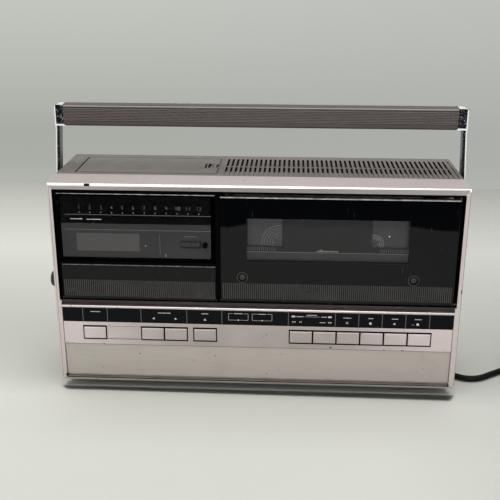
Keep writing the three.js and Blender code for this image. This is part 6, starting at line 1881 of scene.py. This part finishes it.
class RECORDER_OT_display(Builder, bpy.types.Operator):
    """Left bay: display window, its board and printing, counter, flip-down door and knob"""

    bl_idname = "recorder.display"
    bl_label = "Display and flip-down door"

    lowered = 0.0005  # of the window's top edge
    mask = (-192.0, -44.5, 5.5, 5.9, 133.6, 196.6)
    counter_opening = (-75.3, -54.2, 5, 6.5, 144.4, 152.3)
    clock = (-177.6, -115.1, 5.25, 5.6, 140.2, 158.6)
    rim = (
        (-193.4, -192.3, 5.2, 5.6, 131.0, 199.4), (-44.9, -41.2, 5.2, 5.6, 131.0, 199.4),
        (-192.3, -44.9, 5.2, 5.6, 131.0, 133.4), (-192.3, -44.9, 5.2, 5.6, 168.6, 199.4),
    )
    columns = (
        -172.5, -161.8, -150.9, -140.5, -130.2, -119.4, -108.7, -97.9, -87.2, -76.3, -66.1, -55.8,
    )
    number_height, dot_height, dot_radius = 185.6, 180.6, 0.4
    rules = (
        (-187.0, -44.2, 178.2, 178.65), (-187.0, -44.2, 163.0, 163.5),
        (-94.8, -94.35, 138.0, 159.0), (-70.8, -58.2, 157.2, 157.8),
    )
    rule_dots = ((-174.0, 169.4), (-159.4, 169.4))
    bright_marks = (
        (-181.6, -169.6, 173.5, 174.2), (-165.6, -151.0, 173.3, 174.0),
        (-108.9, -108.4, 146.4, 147.9), (-89.4, -88.9, 136.0, 138.6),
    )
    door = (-193.9, -40.3, 89.2, 126.6)

    def build(self, context):
        # The bay behind the display takes painted shade in black.
        refined("left_bay", "casing", "pocket", "matt_black", 0.0003, 1)
        self.window()
        self.board()
        self.printing()
        # The counter's reset button takes painted shade in black, as a dark hole.
        refined("counter_reset_button", "counter_reset_button", "pocket", "matt_black", 0.0003)
        refined("tracking_knob", "tracking_knob", "matt", "matt_black", 0.0002, 1)
        self.flip_door()

    def window(self):
        low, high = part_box("display_window")
        piece = merged("display_window", "display_glass")
        for vertex in piece.data.vertices:
            if vertex.co.z > high.z - 1e-5:
                vertex.co.z -= self.lowered
        soften(piece, 0.0007, 2, chosen=upper_front_edge(low.y, high.z - self.lowered))
        soften(piece, 0.0003, 2, 40)
        # The window's upper edge takes the pale painted highlight.
        coats = ("display_glass", "worn")
        wear(piece, "casing", coats, "smoked_window", "display_window")

    def board(self):
        """Board with a dull mask, the clock's pale filter and the counter's opening."""
        paint_node("display_board", "face")
        mask = solid("display_mask", box(*self.mask))
        reset = run_back(circle(-50.5, 147.8, 3.3), 5, 6.5)
        carve(mask, box(*self.counter_opening), reset)
        wear(mask, "casing", "face", "matt_black")
        clock = rounded_solid("clock_filter", 0.0003, box(*self.clock))
        wear(clock, "casing", "clock", "white_plastic")
        # A black border round the mask: painted shade for the dark margin under the window.
        rim = [box(*sides) for sides in self.rim]
        part("display_rim", "casing", "pocket", "matt_black", *rim)
        drum = merged("counter_drum", "counter_wheels")
        smooth(drum, 40)
        wear(drum, "counter_drum", "wheels", "white_plastic", "counter_drum")

    def printing(self):
        """Channel numbers with a dot under each, two long rules, and small marks."""
        front, back = FACE - sizes().print_height / MM, FACE + 0.05
        numbers = []
        for i, x in enumerate(self.columns):
            numbers.append(self.number(str(i + 1), x, front, self.number_height))
        tenth = numbers.pop(9)
        self.join_as("channel_numbers", numbers, "dim")
        self.join_as("tenth_number", [tenth], "clear")
        span = (self.columns[-1] - self.columns[0]) * MM
        count = len(self.columns)
        outline = circle(0, 0, self.dot_radius, 12)
        dot = item("channel_dot", run_back(outline, front - FACE, back - FACE))
        grow(
            "channel_dots", "row", dot, "casing", "print", "white_plastic", Count=count,
            Start=at(self.columns[0], FACE, self.dot_height), Step=(span / (count - 1), 0, 0),
        )
        rules = [run_back(rectangle(*sides), front, back) for sides in self.rules]
        rules += [run_back(circle(x, z, 0.6, 12), front, back) for x, z in self.rule_dots]
        part("display_rules", "casing", "dim", "white_plastic", *rules)
        marks = [run_back(rectangle(*sides), front, back) for sides in self.bright_marks]
        part("display_marks", "casing", "print", "white_plastic", *marks)
        digits = []
        for i, figure in enumerate("2689"):
            digits.append(self.number(figure, -72.6 + 5.1 * i, 5.4, 148.4, 0.0034))
        self.join_as("counter_digits", digits, "print")

    def number(self, text, x, depth, height, size=None):
        """Mesh of a printed number, upright and facing the front."""
        data = bpy.data.curves.new("number", "FONT")
        data.body = text
        data.size = (size or sizes().digit_height) / 0.72
        data.offset = -0.0001
        data.align_x = "CENTER"
        data.align_y = "CENTER"
        data.extrude = 0.00006
        words = bpy.data.objects.new("number", data)
        bpy.context.scene.collection.objects.link(words)
        bpy.context.view_layer.update()
        graph = bpy.context.evaluated_depsgraph_get()
        mesh = bpy.data.meshes.new_from_object(words.evaluated_get(graph), depsgraph=graph)
        bpy.data.objects.remove(words)
        bpy.data.curves.remove(data)
        upright = Matrix.Translation(at(x, depth, height)) @ Matrix.Rotation(math.pi / 2, 4, "X")
        mesh.transform(upright)
        return mesh

    def join_as(self, name, meshes, ink):
        """One printed piece of several meshes."""
        shell = bmesh.new()
        for mesh in meshes:
            shell.from_mesh(mesh)
            bpy.data.meshes.remove(mesh)
        bmesh.ops.remove_doubles(shell, verts=shell.verts, dist=1e-7)
        joined = bpy.data.meshes.new(name)
        shell.to_mesh(joined)
        shell.free()
        wear(add_piece(name, joined), "casing", ink, "white_plastic")

    def flip_door(self):
        left, right, bottom, top = self.door
        foot, tall = bottom + 3.6, 17.6
        slab = door_slab("flip_door_slab", left, right, bottom, top, 3.0)
        carve(slab, box(left - 1, right + 1, 1, FACE + SUNK, foot, foot + tall))
        finish_door(slab, "flip_door", "flip_door", "dim_edge_highlight", 0.0006)
        ends = ((left - 1.1, left + 3), (right - 3, right + 1.1))
        door_pins("flip_door_pins", "flip_door", ends, 4.0, bottom + 1.5)
        door_ribs("flip_door_ribs", "flip_door", left, right, foot, tall)


def door_slab(name, left, right, bottom, top, thickness):
    """Upright slab with a round foot."""
    radius = thickness / 2
    outline = [(FACE, top)]
    for i in range(9):
        angle = math.pi + math.pi * i / 8
        outline.append((
            FACE + radius + radius * math.cos(angle), bottom + radius + radius * math.sin(angle),
        ))
    outline.append((FACE + thickness, top))
    return solid(name, run_across(outline, left, right))


def finish_door(slab, body, node, highlight_coat, width):
    """Upper edge painted with a pale highlight, small rounding elsewhere, gloss black."""
    top = max(vertex.co.z for vertex in slab.data.vertices)
    front = min(vertex.co.y for vertex in slab.data.vertices)
    soften(slab, width, 2, chosen=upper_front_edge(front, top))
    soften(slab, 0.0003, 2, 40)
    wear(slab, body, ("gloss", highlight_coat), "gloss_black", node)


def door_pins(name, body, ends, depth, height):
    """Hinge pins at the two lower corners of a door."""
    pins = []
    for a, b in ends:
        pins.append(turned_across([(0, a), (1.1, a), (1.1, b), (0, b)], depth, height, 16))
    smooth(part(name, body, "matt", "matt_black", *pins))


def door_ribs(name, body, left, right, bottom, height):
    """Upright half-round ribs in the sunk band of a door."""
    pitch, half = sizes().rib_pitch / MM, sizes().rib_width / MM / 2
    count = int((right - left - 1) / pitch)
    outline = [
        (-half, 0.9), (-half, 0.35), (-half * 0.45, 0.02), (half * 0.45, 0.02), (half, 0.35),
        (half, 0.9),
    ]
    rib = item("rib", run_up(outline, 0, height))
    start = (left + right) / 2 - (count - 1) * pitch / 2
    ribs = grow(
        name, "row", rib, body, "rib", "gloss_black", Count=count,
        Start=at(start, FACE, bottom), Step=(pitch * MM, 0, 0),
    )
    smooth(ribs, 50)


class RECORDER_OT_door(Builder, bpy.types.Operator):
    """Cassette door, its window and screws, the holder, the cassette and its reels"""

    bl_idname = "recorder.cassette_door"
    bl_label = "Cassette door"

    door = (-35.2, 193.8, 89.2, 198.5)
    lens = (-9.4, 147.6, 133.1, 177.0)
    screw_places, screw_height = (-13.8, 154.0), 116
    cassette_middle, pane_inner, pane_outer = 68.4, 44.0, 77.3
    strip_ends = (-24, 161)
    combs = {"comb_left": -8.6, "comb_right": 120.9}
    arrow = ((57.3, 142.1), (79.9, 142.1), (79.9, 143.4), (64.3, 143.4), (64.3, 144.9))
    ring_radii = {"supply_reel": (6.6, 9.2, 11.8, 14.4, 17.0), "takeup_reel": (5.2, 7.0, 8.8)}

    def build(self, context):
        self.slab()
        lens = merged("door_lens", "door_window")
        soften(lens, 0.0003, 2)
        wear(lens, "cassette_door", "smoked", "smoked_window", "door_lens")
        self.screws()
        refined("cassette_holder", "cassette_door", "matt", "matt_black", 0.0002, 1)
        self.cassette()
        for name in HUBS:
            self.reel(name)

    def slab(self):
        left, right, bottom, top = self.door
        foot, tall = bottom + 3.9, 16.8
        lens_left, lens_right, lens_foot, lens_top = self.lens
        slab = door_slab("cassette_door_slab", left, right, bottom, top, 4.0)
        carve(
            slab,
            box(left - 1, right + 1, 1, FACE + SUNK, foot, foot + tall),
            box(lens_left, lens_right, 1, FACE + 2.05, lens_foot, lens_top),
        )
        carve(slab, box(lens_left, lens_right, 2, 8, lens_foot, lens_top))
        well = [(0, 0), (4.7, 0), (4.7, FACE + 1.6), (0, FACE + 1.6)]
        for x in self.screw_places:
            carve(slab, turned_back(well, x, self.screw_height, 40))
        finish_door(slab, "cassette_door", "cassette_door", "worn", 0.0013)
        ends = ((left - 1.6, left + 3), (right - 3, right + 4.0))
        door_pins("door_pins", "cassette_door", ends, 4.5, bottom + 2)
        door_ribs("cassette_door_ribs", "cassette_door", left, right, foot, tall)

    def screws(self):
        """Black screws in round wells with a raised lip; the lip takes the ribs' grey, a painted
        highlight.
        """
        seats = [at(x, FACE + 1.4, self.screw_height) for x in self.screw_places]
        head = screw_item(3.1)
        grow("door_screws", "places", head, "cassette_door", "matt", "matt_black", seats)
        rims = [at(x, FACE, self.screw_height) for x in self.screw_places]
        lip = item("well_lip", ring_shape(4.95, 5.45, -0.1, 0.5))
        smooth(grow("door_screw_lips", "places", lip, "cassette_door", "rib", "gloss_black", rims))

    def cassette(self):
        """Shell with clear panes, moulded ridges, rows of short bars and a pale arrow."""
        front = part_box("cassette_shell")[0].y / MM + HALF_DEPTH
        shell = merged("cassette_shell", "cassette_shell_shape")
        panes, lower = [], []
        for side in (-1, 1):
            inner = self.cassette_middle + side * self.pane_inner
            outer = self.cassette_middle + side * self.pane_outer
            a, b = sorted((inner, outer))
            panes.append(box(a, b, front + 0.3, front + 1.3, 147.5, 178.8))
            lower.append(box(a, b, front - 1, front + 1.9, 147.6, 151))
        carve(shell, *lower)
        soften(shell, 0.0003, 2)
        wear(shell, "cassette_door", "cassette", "matt_black", "cassette_shell")
        pane = rounded_solid("cassette_panes", 0.0002, *panes)
        wear(pane, "cassette_door", "pane", "smoked_window")
        for name, start in self.combs.items():
            bar = item("comb_bar", box(-0.3, 0.3, -0.25, 0.2, 0, 3.5))
            grow(
                name, "row", bar, "cassette_door", "comb", "white_plastic", Count=15,
                Start=at(start, front, 142.6), Step=(0.0019, 0, 0),
            )
        back = front + 0.2
        strip = box(*self.strip_ends, front - 0.08, back, 124.0, 141.0)
        line = box(*self.strip_ends, front - 0.12, back, 141.05, 141.5)
        arrow = run_back(self.arrow, front - 0.14, back)
        glint = run_back(circle(127.9, 161.2, 0.6, 12), FACE - 0.12, FACE + 0.3)
        for name, coat, slot, shape in (
            ("cassette_strip", "strip", "matt_black", strip),
            ("cassette_line", "white", "white_plastic", line),
            ("window_glint", "rim", "white_plastic", glint),
            ("cassette_arrow", "white", "white_plastic", arrow),
        ):
            part(name, "cassette_door", coat, slot, shape)

    def reel(self, name):
        """Reel: pale flange with moulded rings and spokes, and the tape wound on it."""
        x = HUBS[name]
        low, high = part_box(name)
        front = low.y / MM + HALF_DEPTH
        hub = at(x, front, HUB_HEIGHT)
        piece = merged(name, name + "_shape")

        def coat(face):
            centre = face.center
            away = math.hypot(centre.x - hub.x, centre.z - hub.z)
            between = low.y + 0.0009 < centre.y < high.y - 0.0009
            if between and away > 0.018:
                return "tape"
            return "flange" if away > 0.005 else "white"

        coats = ("white", "tape", "flange")
        wear(smooth(piece), name, coats, "white_plastic", name, pick=coat)
        rings = []
        for radius in self.ring_radii[name]:
            rings.append(ring_shape(radius, radius + 0.85, front - 0.25, front + 0.25, x, HUB_HEIGHT))
        smooth(part(name + "_rings", name, "ring", "white_plastic", *rings))
        spoke = item("spoke", box(-2.6, 2.6, -0.25, 0.3, -0.5, 0.5))
        grow(
            name + "_spokes", "ring", spoke, name, "white", "white_plastic", Count=6,
            Radius=0.0052, Start=hub,
        )


def ring_shape(inner, outer, front, back, x=0, height=0, sides=40):
    """Flat ring about a line that runs along the depth."""
    points, faces = [], []
    for radius, depth in ((inner, front), (outer, front), (outer, back), (inner, back)):
        points += [at(a, depth, b) for a, b in circle(x, height, radius, sides)]
    for ring in range(4):
        after = (ring + 1) % 4
        for i in range(sides):
            j = (i + 1) % sides
            faces.append([ring * sides + i, ring * sides + j, after * sides + j, after * sides + i])
    return points, faces


class RECORDER_OT_deck(Builder, bpy.types.Operator):
    """Mechanism and boards behind the doors"""

    bl_idname = "recorder.deck"
    bl_label = "Deck and boards"

    mechanism = (
        ("deck_chassis", "casing", "steel", "steel", 0.0002, 1),
        ("supply_spindle", "supply_spindle", "white", "white_plastic", 0.0002, 1),
        ("takeup_spindle", "takeup_spindle", "white", "white_plastic", 0.0002, 1),
        ("upper_drum", "upper_drum", "aluminium", "aluminium", 0.0003, 2),
        ("lower_drum", "casing", "aluminium", "aluminium", 0.0003, 2),
        ("capstan", "capstan", "steel", "steel", 0.0002, 1),
        ("capstan_motor", "casing", "steel", "steel", 0.0002, 1),
        ("pinch_arm", "pinch_arm", "steel", "steel", 0.0002, 1),
        ("pinch_roller", "pinch_roller", "rubber", "rubber", 0.0003, 2),
    )

    def build(self, context):
        refine_all(self.mechanism)
        self.boards()

    def boards(self):
        """Circuit board with its capacitors, and the transformer."""
        paint_node("main_board", "board")
        refined("transformer", "casing", "steel", "steel", 0.0003, 1)
        can = item("capacitor", turned_back(
            [(0, 0), (3.2, 0), (3.2, -8.5), (2.7, -9.4), (0, -9.4)], 0, 0, 16,
        ))
        spots = [at(x, 62.0, z) for x in range(-80, 140, 31) for z in (20, 96, 124)]
        grow(
            "board_cans", "places", can, "casing", "matt", "matt_black", spots, Spread=0.45, Seed=7,
        )


class RECORDER_PT_panel(bpy.types.Panel):
    """Sizes, colours and the steps that build the recorder"""

    bl_idname = "RECORDER_PT_panel"
    bl_label = "Video cassette recorder"
    bl_space_type = "VIEW_3D"
    bl_region_type = "UI"
    bl_category = "Recorder"

    def draw(self, context):
        for group in GROUPS:
            panel = self.layout.box()
            settings = getattr(context.scene, group)
            for name in settings.__annotations__:
                panel.prop(settings, name)
        for operator in OPERATORS:
            self.layout.operator(operator.bl_idname)


OPERATORS = (
    RECORDER_OT_studio, RECORDER_OT_cord, RECORDER_OT_frame, RECORDER_OT_casing,
    RECORDER_OT_handle, RECORDER_OT_bands, RECORDER_OT_display, RECORDER_OT_door,
    RECORDER_OT_deck,
)
GROUPS = {
    "recorder_sizes": RecorderSizes, "recorder_colours": RecorderColours,
    "recorder_studio": RecorderStudio,
}


def register():
    for group in (*GROUPS.values(), *OPERATORS, RECORDER_PT_panel):
        bpy.utils.register_class(group)
    for name, group in GROUPS.items():
        setattr(bpy.types.Scene, name, bpy.props.PointerProperty(type=group))


def unregister():
    for name in GROUPS:
        delattr(bpy.types.Scene, name)
    for group in (RECORDER_PT_panel, *reversed(OPERATORS), *GROUPS.values()):
        bpy.utils.unregister_class(group)


def main():
    register()
    bpy.ops.recorder.studio()
    bpy.ops.recorder.cord()
    bpy.ops.recorder.front_frame()
    bpy.ops.recorder.casing()
    bpy.ops.recorder.handle()
    bpy.ops.recorder.bands()
    bpy.ops.recorder.display()
    bpy.ops.recorder.cassette_door()
    bpy.ops.recorder.deck()


if __name__ == "__main__":
    main()
